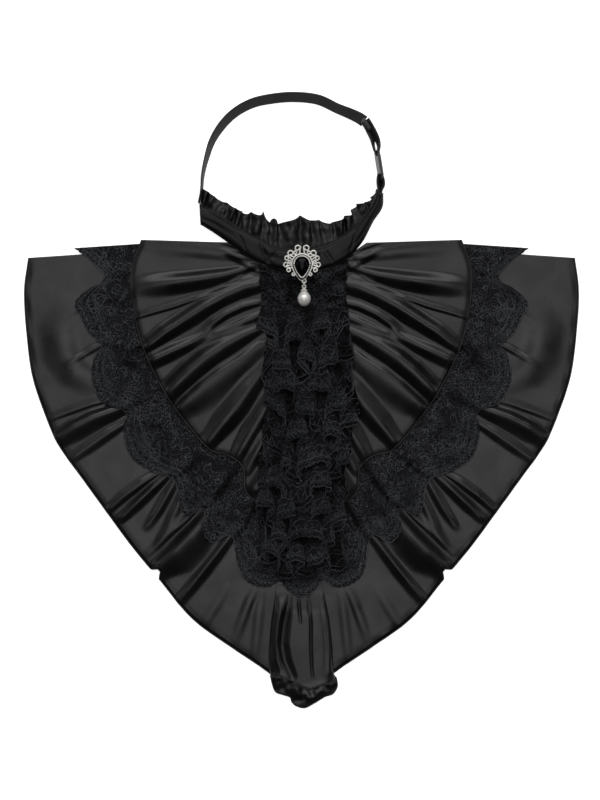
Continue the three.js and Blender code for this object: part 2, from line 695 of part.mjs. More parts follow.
// The ends of a fitting's outer bars in plan
function barOf(fitting, length, end) {
  const angle = degrees(fitting.towards);
  const reach = end * (length / 2 - FITTING.bar / 2);
  return V(fitting.x + reach * Math.cos(angle), fitting.y + reach * Math.sin(angle), 0);
}

const closedSolid = (geometry) => {
  const plain = geometry.index ? geometry.toNonIndexed() : geometry.clone();
  plain.deleteAttribute('normal');
  plain.deleteAttribute('uv');
  const merged = mergeVertices(plain, 1e-4);
  return new wasm.Manifold(new wasm.Mesh({
    numProp: 3,
    vertProperties: merged.attributes.position.array,
    triVerts: new Uint32Array(merged.index.array),
  }));
};

function solidGeometry(solid) {
  const mesh = solid.getMesh();
  const geometry = new THREE.BufferGeometry();
  geometry.setAttribute('position', new THREE.Float32BufferAttribute(mesh.vertProperties, 3));
  geometry.setIndex([...mesh.triVerts]);
  return geometry;
}

// A teardrop with its point down, grown outwards by a margin
function teardropPoints(margin, steps = 20) {
  const points = [];
  for (let k = 0; k < steps; k += 1) {
    const angle = 2 * Math.PI * k / steps;
    const down = Math.max(0, -Math.cos(angle));
    const width = STONE.halfWidth + margin;
    const tall = Math.cos(angle) > 0 ? STONE.up + margin : STONE.down + margin * 1.25;
    const pinch = 1 - 0.42 * down ** 1.6;
    points.push(new THREE.Vector2(-width * Math.sin(angle) * pinch, tall * Math.cos(angle)));
  }
  return points;
}

// A wire bent along a flat curve, with a round bead on its free end
function wireBody(points, steps) {
  const section = new THREE.Shape();
  for (let k = 0; k < WIRE_SIDES; k += 1) {
    const angle = 2 * Math.PI * k / WIRE_SIDES;
    const point = [WIRE * Math.cos(angle), WIRE * Math.sin(angle)];
    if (k) section.lineTo(...point);
    else section.moveTo(...point);
  }
  return new THREE.ExtrudeGeometry(section, {
    steps, bevelEnabled: false, extrudePath: new THREE.CatmullRomCurve3(points),
  });
}

// One curl of the filigree: a stem from the bezel that winds into an open ring
function curlSolid({ turn, reach, radius, wind }, side) {
  const angle = degrees(turn);
  const outward = V(-side * Math.sin(angle), Math.cos(angle), 0);
  const across = V(-outward.y, outward.x, 0).multiplyScalar(side * wind);
  const narrow = outward.y < 0 ? 1 + 0.12 * outward.y : 0.92;
  const centre = outward.clone().multiplyScalar(reach * narrow - (outward.y > 0 ? 1.6 : 0));
  const points = [centre.clone().multiplyScalar(0.5)];
  const sweep = degrees(CURL_SWEEP);
  for (let k = 0; k <= 8; k += 1) {
    const a = sweep * k / 8;
    const r = radius * (1 - 0.35 * k / 8);
    points.push(centre.clone().addScaledVector(across, -r * Math.cos(a))
      .addScaledVector(outward, r * Math.sin(a)));
  }
  const bead = new THREE.SphereGeometry(BEAD, 5, 3);
  const end = points[points.length - 1];
  bead.translate(end.x, end.y, end.z);
  return closedSolid(wireBody(points, CURL_STEPS)).add(closedSolid(bead));
}

function filigreeBody() {
  const rimHole = teardropPoints(SEAT);
  const rim = new THREE.Shape(teardropPoints(BEZEL.rim));
  rim.holes.push(new THREE.Path(rimHole));
  const plate = new THREE.ExtrudeGeometry(rim, { depth: 2 * WIRE, bevelEnabled: false });
  plate.translate(0, 0, -WIRE);
  let solid = closedSolid(plate);
  for (const curl of CURLS) {
    for (const side of [-1, 1]) solid = solid.add(curlSolid(curl, side));
  }
  const eye = new THREE.TorusGeometry(EYE.radius, EYE.wire, 6, 14);
  eye.translate(DROP_X - BROOCH.x, EYE.y - BROOCH.y, 0);
  solid = solid.add(closedSolid(eye));
  return solidGeometry(solid.subtract(stoneSeat()));
}

// The bore through the bezel that the stone drops into
function stoneSeat() {
  const shape = new THREE.Shape(teardropPoints(SEAT));
  const seat = new THREE.ExtrudeGeometry(shape, { depth: 10, bevelEnabled: false });
  seat.translate(0, 0, -5);
  return closedSolid(seat);
}

// The raised double rim round the stone, standing on the filigree's plate
function bezelBody() {
  const shape = new THREE.Shape(teardropPoints(2.0));
  shape.holes.push(new THREE.Path(teardropPoints(0.9)));
  const geometry = new THREE.ExtrudeGeometry(shape, {
    depth: BEZEL.thick - WIRE,
    bevelEnabled: true, bevelThickness: 0.3, bevelSize: 0.3, bevelSegments: 1,
  });
  geometry.translate(0, 0, WIRE + 0.62);
  return geometry;
}

function stoneBody() {
  const shape = new THREE.Shape(teardropPoints(-1.3, 16));
  const geometry = new THREE.ExtrudeGeometry(shape, {
    depth: STONE.thick - 0.9,
    bevelEnabled: true, bevelThickness: 0.9, bevelSize: 1.3, bevelSegments: 1,
  });
  geometry.translate(0, 0, 0.3);
  return geometry;
}

// The link through the brooch's eye, and the drop that hangs from the link
const linkTop = EYE.y - EYE.radius + EYE.wire + LINK.wire + RING_CLEARANCE;
const linkCentre = linkTop - LINK.radius;
const linkBottom = linkCentre - LINK.radius;
const capEyeTop = linkBottom + LINK.wire + CAP_EYE.wire + RING_CLEARANCE;
const capEyeCentre = capEyeTop - CAP_EYE.radius;
const capTop = capEyeCentre - CAP_EYE.radius + CAP_EYE.wire * 0.4;

function linkBody() {
  const geometry = new THREE.TorusGeometry(LINK.radius, LINK.wire, 6, 14);
  geometry.rotateY(Math.PI / 2);
  return geometry;
}

function capBody() {
  const eye = new THREE.TorusGeometry(CAP_EYE.radius, CAP_EYE.wire, 6, 12);
  const cup = new THREE.LatheGeometry([
    new THREE.Vector2(0, 0),
    new THREE.Vector2(0.9, 0),
    new THREE.Vector2(CAP.radius, -CAP.length),
    new THREE.Vector2(CAP.radius - 0.5, -CAP.length),
    new THREE.Vector2(0.5, -0.8),
    new THREE.Vector2(0, -0.8),
  ].reverse(), 12);
  cup.translate(0, capTop - capEyeCentre, 0);
  return solidGeometry(closedSolid(eye).add(closedSolid(cup)));
}

function pearlBody() {
  const profile = [];
  const steps = 10;
  for (let k = 0; k <= steps; k += 1) {
    const angle = Math.PI * k / steps;
    const taper = 1 - 0.3 * Math.max(0, Math.cos(angle)) ** 1.5;
    const radius = k === 0 || k === steps ? 0 : PEARL.halfWidth * Math.sin(angle) * taper;
    profile.push(new THREE.Vector2(radius, PEARL.length / 2 * Math.cos(angle)));
  }
  return new THREE.LatheGeometry(profile.reverse(), 16);
}

const satin = new THREE.MeshStandardMaterial({ color: 0x1b1a1b, roughness: 0.35, metalness: 0 });
const lace = new THREE.MeshStandardMaterial({ color: 0x17181d, roughness: 0.9, metalness: 0 });
const ribbon = new THREE.MeshStandardMaterial({ color: 0x2a2928, roughness: 0.75, metalness: 0 });
const plastic = new THREE.MeshStandardMaterial({ color: 0x3a3a3a, roughness: 0.4, metalness: 0 });
const silver = new THREE.MeshStandardMaterial({ color: 0xd8d4cc, roughness: 0.3, metalness: 1 });
const jet = new THREE.MeshStandardMaterial({ color: 0x08080a, roughness: 0.12, metalness: 0 });
const pearl = new THREE.MeshStandardMaterial({ color: 0xe6e3dc, roughness: 0.25, metalness: 0 });

const jabot = new THREE.Group();

function place(name, geometry, material, parent = jabot) {
  const mesh = new THREE.Mesh(geometry, material);
  mesh.name = name;
  parent.add(mesh);
  return mesh;
}

place('bottom_tier', bottomTierBody(), satin);
place('lace_edging', laceEdgingBody(), lace);
place('upper_tier', upperTierBody(), satin);
place('centre_pleat', centrePleatBody(), satin);
place('lace_fall', laceFallBody(), lace);
FRILLS.forEach((frill, k) => {
  place(`lace_frill_${String(k + 1).padStart(2, '0')}`, frillBody(frill), lace);
});
place('neck_band', neckBandBody(), satin);
place('neck_frill', neckFrillBody(), satin);
place('neck_strap', neckStrapBody(), ribbon);

function placeFitting(name, length, at) {
  const mesh = place(name, fittingBody(length, windowsOf(length)), plastic);
  mesh.position.set(at.x, at.y, 0);
  mesh.rotation.z = degrees(at.towards);
}
placeFitting('strap_slider', SLIDER_LENGTH, SLIDER_AT);
placeFitting('strap_hook', HOOK_LENGTH, HOOK_AT);
const sliderBar = barOf(SLIDER_AT, SLIDER_LENGTH, 1);
const hookTop = barOf(HOOK_AT, HOOK_LENGTH, -1);
const hookBottom = barOf(HOOK_AT, HOOK_LENGTH, 1);
place('strap_loop', ribbonLoopBody(sliderBar, hookTop), ribbon);
place('band_loop', ribbonLoopBody(hookBottom, LOOP_END), ribbon);

const brooch = new THREE.Group();
brooch.position.set(BROOCH.x, BROOCH.y, BROOCH.z);
jabot.add(brooch);
place('brooch_filigree', filigreeBody(), silver, brooch);
place('brooch_bezel', bezelBody(), silver, brooch);
place('brooch_stone', stoneBody(), jet, brooch);

const drop = new THREE.Group();
drop.position.set(DROP_X, 0, BROOCH.z);
jabot.add(drop);
place('drop_link', linkBody(), silver, drop).position.y = linkCentre;
place('drop_cap', capBody(), silver, drop).position.y = capEyeCentre;
place('drop_pearl', pearlBody(), pearl, drop).position.y = capTop - 1.7 - PEARL.length / 2;

export default jabot;
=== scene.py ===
"""A black satin and lace jabot laid flat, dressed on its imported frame. Seen from straight above.

Everything is in metres in the row frame. Tables that give places in the picture are in pixels of
the 600 x 800 frame, where one pixel is 0.76 mm and the garment's middle line is at x = 301.5.
"""
import math

import bmesh
import bpy
import numpy as np
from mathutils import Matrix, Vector


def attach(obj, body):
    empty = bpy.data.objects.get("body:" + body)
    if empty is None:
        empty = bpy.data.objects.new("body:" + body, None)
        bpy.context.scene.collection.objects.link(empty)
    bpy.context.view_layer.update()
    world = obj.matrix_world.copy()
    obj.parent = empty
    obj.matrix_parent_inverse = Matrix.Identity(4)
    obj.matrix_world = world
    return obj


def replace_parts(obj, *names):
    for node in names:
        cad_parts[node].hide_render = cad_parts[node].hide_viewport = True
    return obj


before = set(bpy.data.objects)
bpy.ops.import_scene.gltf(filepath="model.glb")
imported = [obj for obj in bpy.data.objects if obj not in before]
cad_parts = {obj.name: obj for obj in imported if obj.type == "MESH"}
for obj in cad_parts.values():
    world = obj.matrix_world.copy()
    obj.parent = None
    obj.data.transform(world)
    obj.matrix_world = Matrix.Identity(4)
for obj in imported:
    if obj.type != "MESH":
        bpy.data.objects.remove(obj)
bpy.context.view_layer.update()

MM = 0.001
PIXEL = 0.76
MIDDLE_X, MIDDLE_Y = 301.5, 400.5
# Walls of the cloths (mm).
SATIN_WALL, LACE_WALL, BAND_WALL, FRILL_WALL = 0.5, 0.35, 0.8, 0.4
STITCH_PITCH = 2.4

# ---------------------------------------------------------------- camera and light
LENS, SENSOR, CAMERA_Z = 120.0, 36.0, 2.04


def make_camera():
    """Straight above the garment, the picture's middle in the middle of the view."""
    data = bpy.data.cameras.new("camera")
    data.lens, data.sensor_width = LENS, SENSOR
    data.clip_end = 20
    camera = bpy.data.objects.new("camera", data)
    camera.location = ((300 - MIDDLE_X) * PIXEL * MM, (MIDDLE_Y - 400) * PIXEL * MM, CAMERA_Z)
    bpy.context.scene.collection.objects.link(camera)
    bpy.context.scene.camera = camera


def softbox(name, place, size, power):
    """A rectangular lamp that faces the garment."""
    data = bpy.data.lights.new(name, "AREA")
    data.shape = "RECTANGLE"
    data.size, data.size_y = size
    data.energy = power
    lamp = bpy.data.objects.new(name, data)
    lamp.location = place
    lamp.rotation_mode = "QUATERNION"
    lamp.rotation_quaternion = Vector(place).to_track_quat("Z", "Y")
    bpy.context.scene.collection.objects.link(lamp)


make_camera()
softbox("overhead", (0.0, 0.08, 2.3), (1.3, 1.3), 9.0)
softbox("behind", (0.0, 1.6, 1.6), (2.4, 1.2), 26)
softbox("left", (-1.9, 0.35, 1.5), (0.8, 1.2), 3.5)
softbox("right", (1.9, 0.35, 1.5), (0.8, 1.2), 3.5)
world = bpy.data.worlds.new("studio")
world.use_nodes = True
world.node_tree.nodes["Background"].inputs[0].default_value = (1, 1, 1, 1)
world.node_tree.nodes["Background"].inputs[1].default_value = 0.03
bpy.context.scene.world = world
bpy.context.scene.view_settings.view_transform = "Standard"


# ---------------------------------------------------------------- node helpers
class Nodes:
    """Short ways to add and join the nodes of one material or group."""

    def __init__(self, tree):
        self.tree = tree

    def feed(self, node, key, value):
        """Join a socket to an input, or set the input to a plain value."""
        if isinstance(value, bpy.types.NodeSocket):
            self.tree.links.new(value, node.inputs[key])
        else:
            node.inputs[key].default_value = value

    def add(self, kind, inputs=(), **settings):
        node = self.tree.nodes.new(kind)
        for key, value in settings.items():
            setattr(node, key, value)
        for key, value in dict(inputs).items():
            self.feed(node, key, value)
        return node

    def math(self, operation, *values):
        return self.add("ShaderNodeMath", dict(enumerate(values)), operation=operation).outputs[0]

    def mix(self, amount, a, b):
        return self.add("ShaderNodeMix", {0: amount, 6: a, 7: b}, data_type="RGBA").outputs[2]

    def ramp(self, value, low, high):
        ends = {0: value, 1: low, 2: high}
        return self.add("ShaderNodeMapRange", ends, interpolation_type="SMOOTHSTEP").outputs[0]

    def noise(self, vector, scale, detail, output=0):
        inputs = {"Vector": vector, "Scale": scale, "Detail": detail}
        return self.add("ShaderNodeTexNoise", inputs).outputs[output]

    def bump(self, strength, distance, height, **more):
        inputs = {"Strength": strength, "Distance": distance, "Height": height, **more}
        return self.add("ShaderNodeBump", inputs).outputs[0]

    def place(self):
        return self.add("ShaderNodeTexCoord").outputs["Object"]


def grey(value, tint=(1.0, 1.0, 1.0)):
    """A tinted grey as a colour with full cover."""
    return (value * tint[0], value * tint[1], value * tint[2], 1)


def new_group(name, inputs, outputs):
    """An empty node group: its tree, its nodes, and its input and output nodes."""
    tree = bpy.data.node_groups.new(name, "ShaderNodeTree")
    for label, kind, default in inputs:
        socket = tree.interface.new_socket(label, in_out="INPUT", socket_type=kind)
        if default is not None:
            socket.default_value = default
    for label, kind in outputs:
        tree.interface.new_socket(label, in_out="OUTPUT", socket_type=kind)
    nodes = Nodes(tree)
    return tree, nodes, nodes.add("NodeGroupInput"), nodes.add("NodeGroupOutput")


def make_weave_group():
    """Fine threads with slow unevenness: Height for a bump, Mottle for colour and roughness."""
    tree, n, given, out = new_group(
        "cloth_weave",
        [("Threads per m", "NodeSocketFloat", 2600.0), ("Mottle size", "NodeSocketFloat", 60.0)],
        [("Height", "NodeSocketFloat"), ("Mottle", "NodeSocketFloat")],
    )
    place = n.place()
    across = n.noise(place, given.outputs[0], 1.0)
    stretched = n.add("ShaderNodeMapping", {"Vector": place, "Scale": (1.0, 0.16, 1.0)})
    along = n.noise(stretched.outputs[0], given.outputs[0], 1.0)
    n.feed(out, "Height", n.math("ADD", n.math("MULTIPLY", across, 0.4), along))
    n.feed(out, "Mottle", n.noise(place, given.outputs[1], 3.0))
    return tree


def make_net_group():
    """Corded lace: Thread is the net with its close stitches, Cord the raised outlines.

    From edge is how far a point lies from the free edge and Run how far along it, both in mm.
    """
    tree, n, given, out = new_group(
        "lace_net",
        [("Mesh per m", "NodeSocketFloat", 760.0), ("Motif size", "NodeSocketFloat", 85.0),
         ("From edge", "NodeSocketFloat", 50.0), ("Run", "NodeSocketFloat", 0.0),
         ("Border", "NodeSocketFloat", 11.0)],
        [("Thread", "NodeSocketFloat"), ("Cord", "NodeSocketFloat")],
    )
    place = n.place()
    bend = n.noise(place, 160.0, 1.0, 1)
    shift = n.add("ShaderNodeVectorMath", {0: bend, 1: (0.004, 0.004, 0.004)}, operation="MULTIPLY")
    moved = n.add("ShaderNodeVectorMath", {0: place, 1: shift.outputs[0]}, operation="ADD").outputs[0]
    cells = n.add("ShaderNodeTexVoronoi", {"Vector": place, "Scale": given.outputs[0]},
                  feature="DISTANCE_TO_EDGE")
    net = n.math("SUBTRACT", 1.0, n.ramp(cells.outputs[0], 0.05, 0.2))
    loops = n.ramp(n.noise(place, 980.0, 1.2), 0.46, 0.61)
    flow = n.noise(moved, given.outputs[1], 0.6)
    dense = n.ramp(flow, 0.47, 0.54)
    bands = n.math("PINGPONG", n.math("MULTIPLY", flow, 6.5), 0.5)
    scrolls = n.math("SUBTRACT", 1.0, n.ramp(bands, 0.03, 0.1))
    edge, run = given.outputs["From edge"], given.outputs["Run"]

    def line(value, width):
        return n.math("SUBTRACT", 1.0, n.ramp(n.math("ABSOLUTE", value), width * 0.5, width))

    def arch(pitch, low, high):
        across = n.math("PINGPONG", run, pitch * 0.5)
        square = n.math("MULTIPLY", across, n.math("MULTIPLY", across, 4.0 / (pitch * pitch)))
        return n.math("SUBTRACT", edge, n.math("MULTIPLY_ADD", square, low - high, high))

    border = n.math("SUBTRACT", 1.0, n.ramp(n.math("DIVIDE", edge, given.outputs["Border"]), 0.9, 1.1))
    stitches = n.math("GREATER_THAN", n.math("PINGPONG", run, 0.7), 0.36)
    between = n.math("MULTIPLY", n.ramp(edge, 3.9, 4.2), n.math("SUBTRACT", 1.0, n.ramp(edge, 6.0, 6.3)))
    drawn = n.math("MAXIMUM", line(arch(3.4, 1.0, 3.6), 0.5), line(arch(7.0, 6.8, 9.4), 0.55))
    drawn = n.math("MAXIMUM", drawn, n.math("MULTIPLY", n.math("MULTIPLY", between, stitches), 0.8))
    inner = n.math("MULTIPLY", n.math("MULTIPLY", scrolls, 0.55), n.math("SUBTRACT", 1.0, border))
    cord = n.math("MAXIMUM", n.math("MULTIPLY", drawn, border), inner)
    ground = n.math("MULTIPLY", loops, n.math("MULTIPLY_ADD", n.math("MAXIMUM", dense, border), 0.6, 0.4))
    thread = n.math("MAXIMUM", n.math("MULTIPLY", net, 0.22), ground)
    n.feed(out, "Thread", thread)
    n.feed(out, "Cord", n.math("MULTIPLY", cord, n.math("MULTIPLY_ADD", loops, 0.55, 0.45)))
    return tree


WEAVE, NET = make_weave_group(), make_net_group()


def new_material(name):
    """An empty material: itself, its nodes and its surface node."""
    material = bpy.data.materials.new(name)
    material.use_nodes = True
    return material, Nodes(material.node_tree), material.node_tree.nodes["Principled BSDF"]


def set_sockets(bsdf, **values):
    """Set inputs of a surface node; an underscore stands for a space."""
    for key, value in values.items():
        bsdf.inputs[key.replace("_", " ")].default_value = value


def cloth_material(name, dark, light, tint, rough, weave, wrinkle, gloss=0.5):
    """A woven cloth whose colour and gloss vary slowly, with fine threads and slight wrinkles."""
    material, n, bsdf = new_material(name)
    cloth = n.add("ShaderNodeGroup", node_tree=WEAVE)
    n.feed(cloth, 0, weave)
    n.feed(cloth, 1, 55.0)
    mottle = n.ramp(cloth.outputs["Mottle"], 0.3, 0.7)
    n.feed(bsdf, "Base Color", n.mix(mottle, grey(dark, tint), grey(light, tint)))
    n.feed(bsdf, "Roughness", n.math("MULTIPLY_ADD", mottle, 0.08, rough))
    slow = n.bump(0.6, wrinkle, cloth.outputs["Mottle"])
    n.feed(bsdf, "Normal", n.bump(0.35, 0.00006, cloth.outputs["Height"], Normal=slow))
    set_sockets(bsdf, Specular_IOR_Level=gloss)
    return material


def lace_material(name, hole, thread, cord, motif_size, border):
    """Corded lace that reads the marks of its grid: from_edge, run and depth, where depth darkens the colour
    towards the holes' colour as painted shade.
    """
    material, n, bsdf = new_material(name)
    mark = lambda label: n.add("ShaderNodeAttribute", attribute_name=label).outputs["Fac"]
    net = n.add("ShaderNodeGroup", {"Mesh per m": 760.0, "Motif size": motif_size, "Border": border,
                                    "From edge": mark("from_edge"), "Run": mark("run")}, node_tree=NET)
    plain = n.mix(net.outputs["Thread"], grey(hole, LACE_TINT), grey(thread, LACE_TINT))
    shown = n.mix(net.outputs["Cord"], plain, grey(cord, LACE_TINT))
    # Painted shade: the depth mark darkens the lace's colour.
    n.feed(bsdf, "Base Color", n.mix(mark("depth"), shown, grey(hole, LACE_TINT)))
    height = n.math("MULTIPLY_ADD", net.outputs["Cord"], 0.8, net.outputs["Thread"])
    n.feed(bsdf, "Normal", n.bump(0.9, 0.0004, height))
    set_sockets(bsdf, Roughness=0.8, Specular_IOR_Level=0.04)
    return material


def plain_material(name, colour, rough, metal=0.0, grain=0.0, scale=400.0, dirt=None):
    """A hard surface with fine grain; dirt is a darker colour mixed in at random patches."""
    material, n, bsdf = new_material(name)
    noise = n.noise(n.place(), scale, 4.0)
    mask = n.ramp(noise, 0.35, 0.65)
    if dirt is None:
        dirt = tuple(c * 0.8 for c in colour[:3]) + (1,)
    n.feed(bsdf, "Base Color", n.mix(mask, dirt, colour))
    n.feed(bsdf, "Roughness", n.math("MULTIPLY_ADD", mask, -0.08, rough + 0.06))
    if grain:
        n.feed(bsdf, "Normal", n.bump(0.5, grain, noise))
    set_sockets(bsdf, Metallic=metal)
    return material


SATIN = cloth_material("satin_black", 0.0018, 0.003, (1.05, 1.0, 0.96), 0.27, 2600.0, 0.0003, 0.4)
# A lighter copy of the satin for the lower tier, pleat and tip: painted light that makes up for the weaker
# light on the lower tier.
SATIN_LOW_PAINTED_LIGHT = cloth_material("satin_lower_painted_light", 0.0042, 0.006, (1.0, 1.0, 0.98), 0.27, 2600.0, 0.0003, 0.44)
SATIN_BAND = cloth_material("satin_band", 0.0015, 0.003, (1.05, 1.0, 0.97), 0.34, 2600.0, 0.0003, 0.22)
SATIN_FRILL = cloth_material("satin_gathered", 0.0025, 0.005, (1.04, 1.0, 0.98), 0.4, 2600.0, 0.0003, 0.38)
# The hems and stitches are a grey far lighter than the satin: a painted highlight along the rolled hem edges.
THREAD_PAINTED_LIGHTER = cloth_material("hem_thread_painted_highlight", 0.02, 0.04, (1.0, 1.0, 1.0), 0.5, 4000.0, 0.0001, 0.3)
RIBBON = cloth_material("ribbon_matt", 0.018, 0.026, (1.04, 1.0, 0.98), 0.7, 1500.0, 0.0002)
LACE_TINT = (0.95, 0.98, 1.09)
LACE = lace_material("lace_edging", 0.0006, 0.075, 0.13, 85.0, 11.0)
# The fall's and frills' lace: the edging's lace with larger motifs and a narrower border, its colours darker
# as painted shade for the deep gathers.
LACE_FRILL_SHADED = lace_material("lace_gathered_painted_shade", 0.0003, 0.042, 0.085, 95.0, 8.0)
LACE_CORD = cloth_material("lace_cord", 0.02, 0.085, LACE_TINT, 0.8, 1300.0, 0.0002, 0.1)
PLASTIC = plain_material("moulded_black", (0.03, 0.03, 0.03, 1), 0.42, grain=0.00004, scale=900.0)
CLIP = plain_material("moulded_grey", (0.055, 0.055, 0.055, 1), 0.36, grain=0.00004, scale=900.0)
SILVER = plain_material("aged_silver", (1.0, 0.98, 0.95, 1), 0.24, 0.3, 0.00003, 700.0,
                        (0.84, 0.81, 0.76, 1))
SILVER_DARK = plain_material("silver_hollow", (0.03, 0.028, 0.026, 1), 0.5, 0.6, 0.00005, 900.0)
STONE = plain_material("black_stone", (0.002, 0.002, 0.003, 1), 0.12)
set_sockets(STONE.node_tree.nodes["Principled BSDF"], Specular_IOR_Level=0.1)


def pearl_material():
    """A warm white lustre with a clear coat."""
    material, n, bsdf = new_material("pearl_lustre")
    noise = n.noise(n.place(), 320.0, 3.0)
    warm, cool = (0.94, 0.9, 0.82, 1), (0.96, 0.96, 0.95, 1)
    n.feed(bsdf, "Base Color", n.mix(n.ramp(noise, 0.3, 0.7), warm, cool))
    n.feed(bsdf, "Normal", n.bump(0.3, 0.00008, noise))
    set_sockets(bsdf, Metallic=0.35, Roughness=0.27, Coat_Weight=0.7, Coat_Roughness=0.08)
    return material


PEARL = pearl_material()


# ---------------------------------------------------------------- mesh helpers
def mesh_from(name, verts, faces, material, slot, body="garment", smooth=True):
    """A piece from points in millimetres; faces is an array of quads or a list of polygons."""
    mesh = bpy.data.meshes.new(name)
    verts = np.asarray(verts, float) * MM
    if isinstance(faces, np.ndarray):
        count, sides = faces.shape
        mesh.vertices.add(len(verts))
        mesh.vertices.foreach_set("co", verts.ravel())
        mesh.loops.add(count * sides)
        mesh.loops.foreach_set("vertex_index", faces.ravel().astype(np.int32))
        mesh.polygons.add(count)
        mesh.polygons.foreach_set("loop_start", np.arange(0, count * sides, sides, dtype=np.int32))
        mesh.update(calc_edges=True)
    else:
        mesh.from_pydata([tuple(v) for v in verts], [], faces)
    mesh.polygons.foreach_set("use_smooth", np.full(len(mesh.polygons), smooth))
    mesh.validate()
    mesh.materials.append(material)
    piece = bpy.data.objects.new(name, mesh)
    bpy.context.scene.collection.objects.link(piece)
    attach(piece, body)
    return piece


def grid_faces(columns, rows, start=0, flip=False):
    """Quads of a grid of points, counted column by column."""
    i, j = np.meshgrid(np.arange(columns - 1), np.arange(rows - 1), indexing="ij")
    a = (start + i * rows + j).ravel()
    quads = np.stack([a, a + rows, a + rows + 1, a + 1], axis=1)
    return quads[:, ::-1] if flip else quads


def ring_faces(rings, sides, closed=False):
    """Quads between neighbouring rings of points, also from the last ring to the first if closed."""
    k, i = np.meshgrid(np.arange(rings if closed else rings - 1), np.arange(sides), indexing="ij")
    k, i = k.ravel(), i.ravel()
    after, beside = (k + 1) % rings, (i + 1) % sides
    return np.stack([k * sides + i, k * sides + beside, after * sides + beside, after * sides + i], 1)


def unit(vectors):
    """Rows of vectors, each brought to length 1."""
    return vectors / np.maximum(np.linalg.norm(vectors, axis=1, keepdims=True), 1e-9)


def length_along(path):
    """Running length of a path at each of its points."""
    return np.concatenate([[0], np.cumsum(np.linalg.norm(np.diff(path, axis=0), axis=1))])


# How long each row of a cloth grid runs, in metres, by piece.
runs = {}


def shell(name, top, thick, material, slot, marks=()):
    """A thin closed shell under a grid of points [column, row, xyz] in mm, thick along z or by grid."""
    columns, rows = top.shape[:2]
    runs[name] = np.linalg.norm(np.diff(top, axis=0), axis=2).sum(axis=0) * MM
    under = thick if isinstance(thick, np.ndarray) and thick.shape == top.shape else top - [0, 0, thick]
    verts = np.concatenate([top.reshape(-1, 3), under.reshape(-1, 3)])
    n = columns * rows
    mid_c, mid_r = columns // 2, rows // 2
    a = top[min(mid_c + 1, columns - 1), mid_r] - top[mid_c, mid_r]
    b = top[mid_c, min(mid_r + 1, rows - 1)] - top[mid_c, mid_r]
    flip = np.cross(a, b)[2] < 0
    faces = [grid_faces(columns, rows, 0, flip), grid_faces(columns, rows, n, not flip)]
    i, j = np.arange(columns - 1) * rows, np.arange(rows - 1)
    last = n - rows + j
    for a, b in ((i, i + rows), (i + 2 * rows - 1, i + rows - 1), (j + 1, j), (last, last + 1)):
        rim = np.stack([a, a + n, b + n, b], 1)
        faces.append(rim[:, ::-1] if flip else rim)
    piece = mesh_from(name, verts, np.concatenate(faces), material, slot)
    for label, values in dict(marks).items():
        values = np.broadcast_to(values, (columns, rows)).ravel()
        mark = piece.data.attributes.new(label, "FLOAT", "POINT")
        mark.data.foreach_set("value", np.concatenate([values, values]).astype(np.float32))
    return piece


def edge_marks(top, depth=0.0):
    """Marks of a lace grid: mm from the free edge, its last row, and along it, and depth, the share of
    painted shade that darkens it.
    """
    step = np.linalg.norm(np.diff(top, axis=1), axis=2)
    from_edge = np.cumsum(step[:, ::-1], axis=1)[:, ::-1]
    from_edge = np.concatenate([from_edge, np.zeros((len(top), 1))], axis=1)
    return {"from_edge": from_edge, "run": length_along(top[:, -1])[:, None], "depth": depth}


def tube_points(path, radius, sides, closed=False, squash=1.0):
    """Rings of a tube round a path in mm; radius may be one value or one for each point."""
    path = np.asarray(path, float)
    if closed:
        run = np.roll(path, -1, 0) - np.roll(path, 1, 0)
    else:
        run = np.gradient(path, axis=0)
    run = unit(run)
    up = np.tile([0.0, 0.0, 1.0], (len(path), 1))
    up[np.abs(run[:, 2]) > 0.95] = [0.0, 1.0, 0.0]
    side = unit(np.cross(run, up))
    top = np.cross(side, run)
    angle = np.linspace(0, 2 * math.pi, sides, endpoint=False)
    r = np.broadcast_to(np.asarray(radius, float).reshape(-1, 1, 1), (len(path), sides, 1))
    beside, above = np.cos(angle)[:, None], squash * np.sin(angle)[:, None]
    return path[:, None] + r * (beside * side[:, None] + above * top[:, None])


class Cords:
    """Many thin cords gathered into one piece."""

    def __init__(self):
        self.verts, self.faces, self.count = [], [], 0

    def join(self, verts, faces):
        """Take up other points and quads."""
        self.verts.append(verts)
        self.faces.append(faces + self.count)
        self.count += len(verts)

    def add(self, path, radius, sides=4, closed=False, squash=1.0):
        rings = tube_points(path, radius, sides, closed, squash)
        self.join(rings.reshape(-1, 3), ring_faces(len(rings), sides, closed))

    def piece(self, name, material, slot, body="garment"):
        return mesh_from(name, np.concatenate(self.verts), np.concatenate(self.faces), material, slot, body)


def rolled_hem(name, top, lower, radius):
    """A round hem along the last row of a satin grid, its middle a little lower than the row."""
    cords = Cords()
    cords.add(top[:, -1] - [0, 0, lower], radius, 5)
    return cords.piece(name, THREAD_PAINTED_LIGHTER, "black_satin")


def smoothstep(x, low, high):
    """0 below low, 1 above high and soft between."""
    t = np.clip((x - low) / (high - low), 0, 1)
    return t * t * (3 - 2 * t)


def hump(distance):
    """1 at 0, falling softly to 0 at 1."""
    return 0.5 * (1 + np.cos(np.pi * np.clip(distance, 0, 1)))


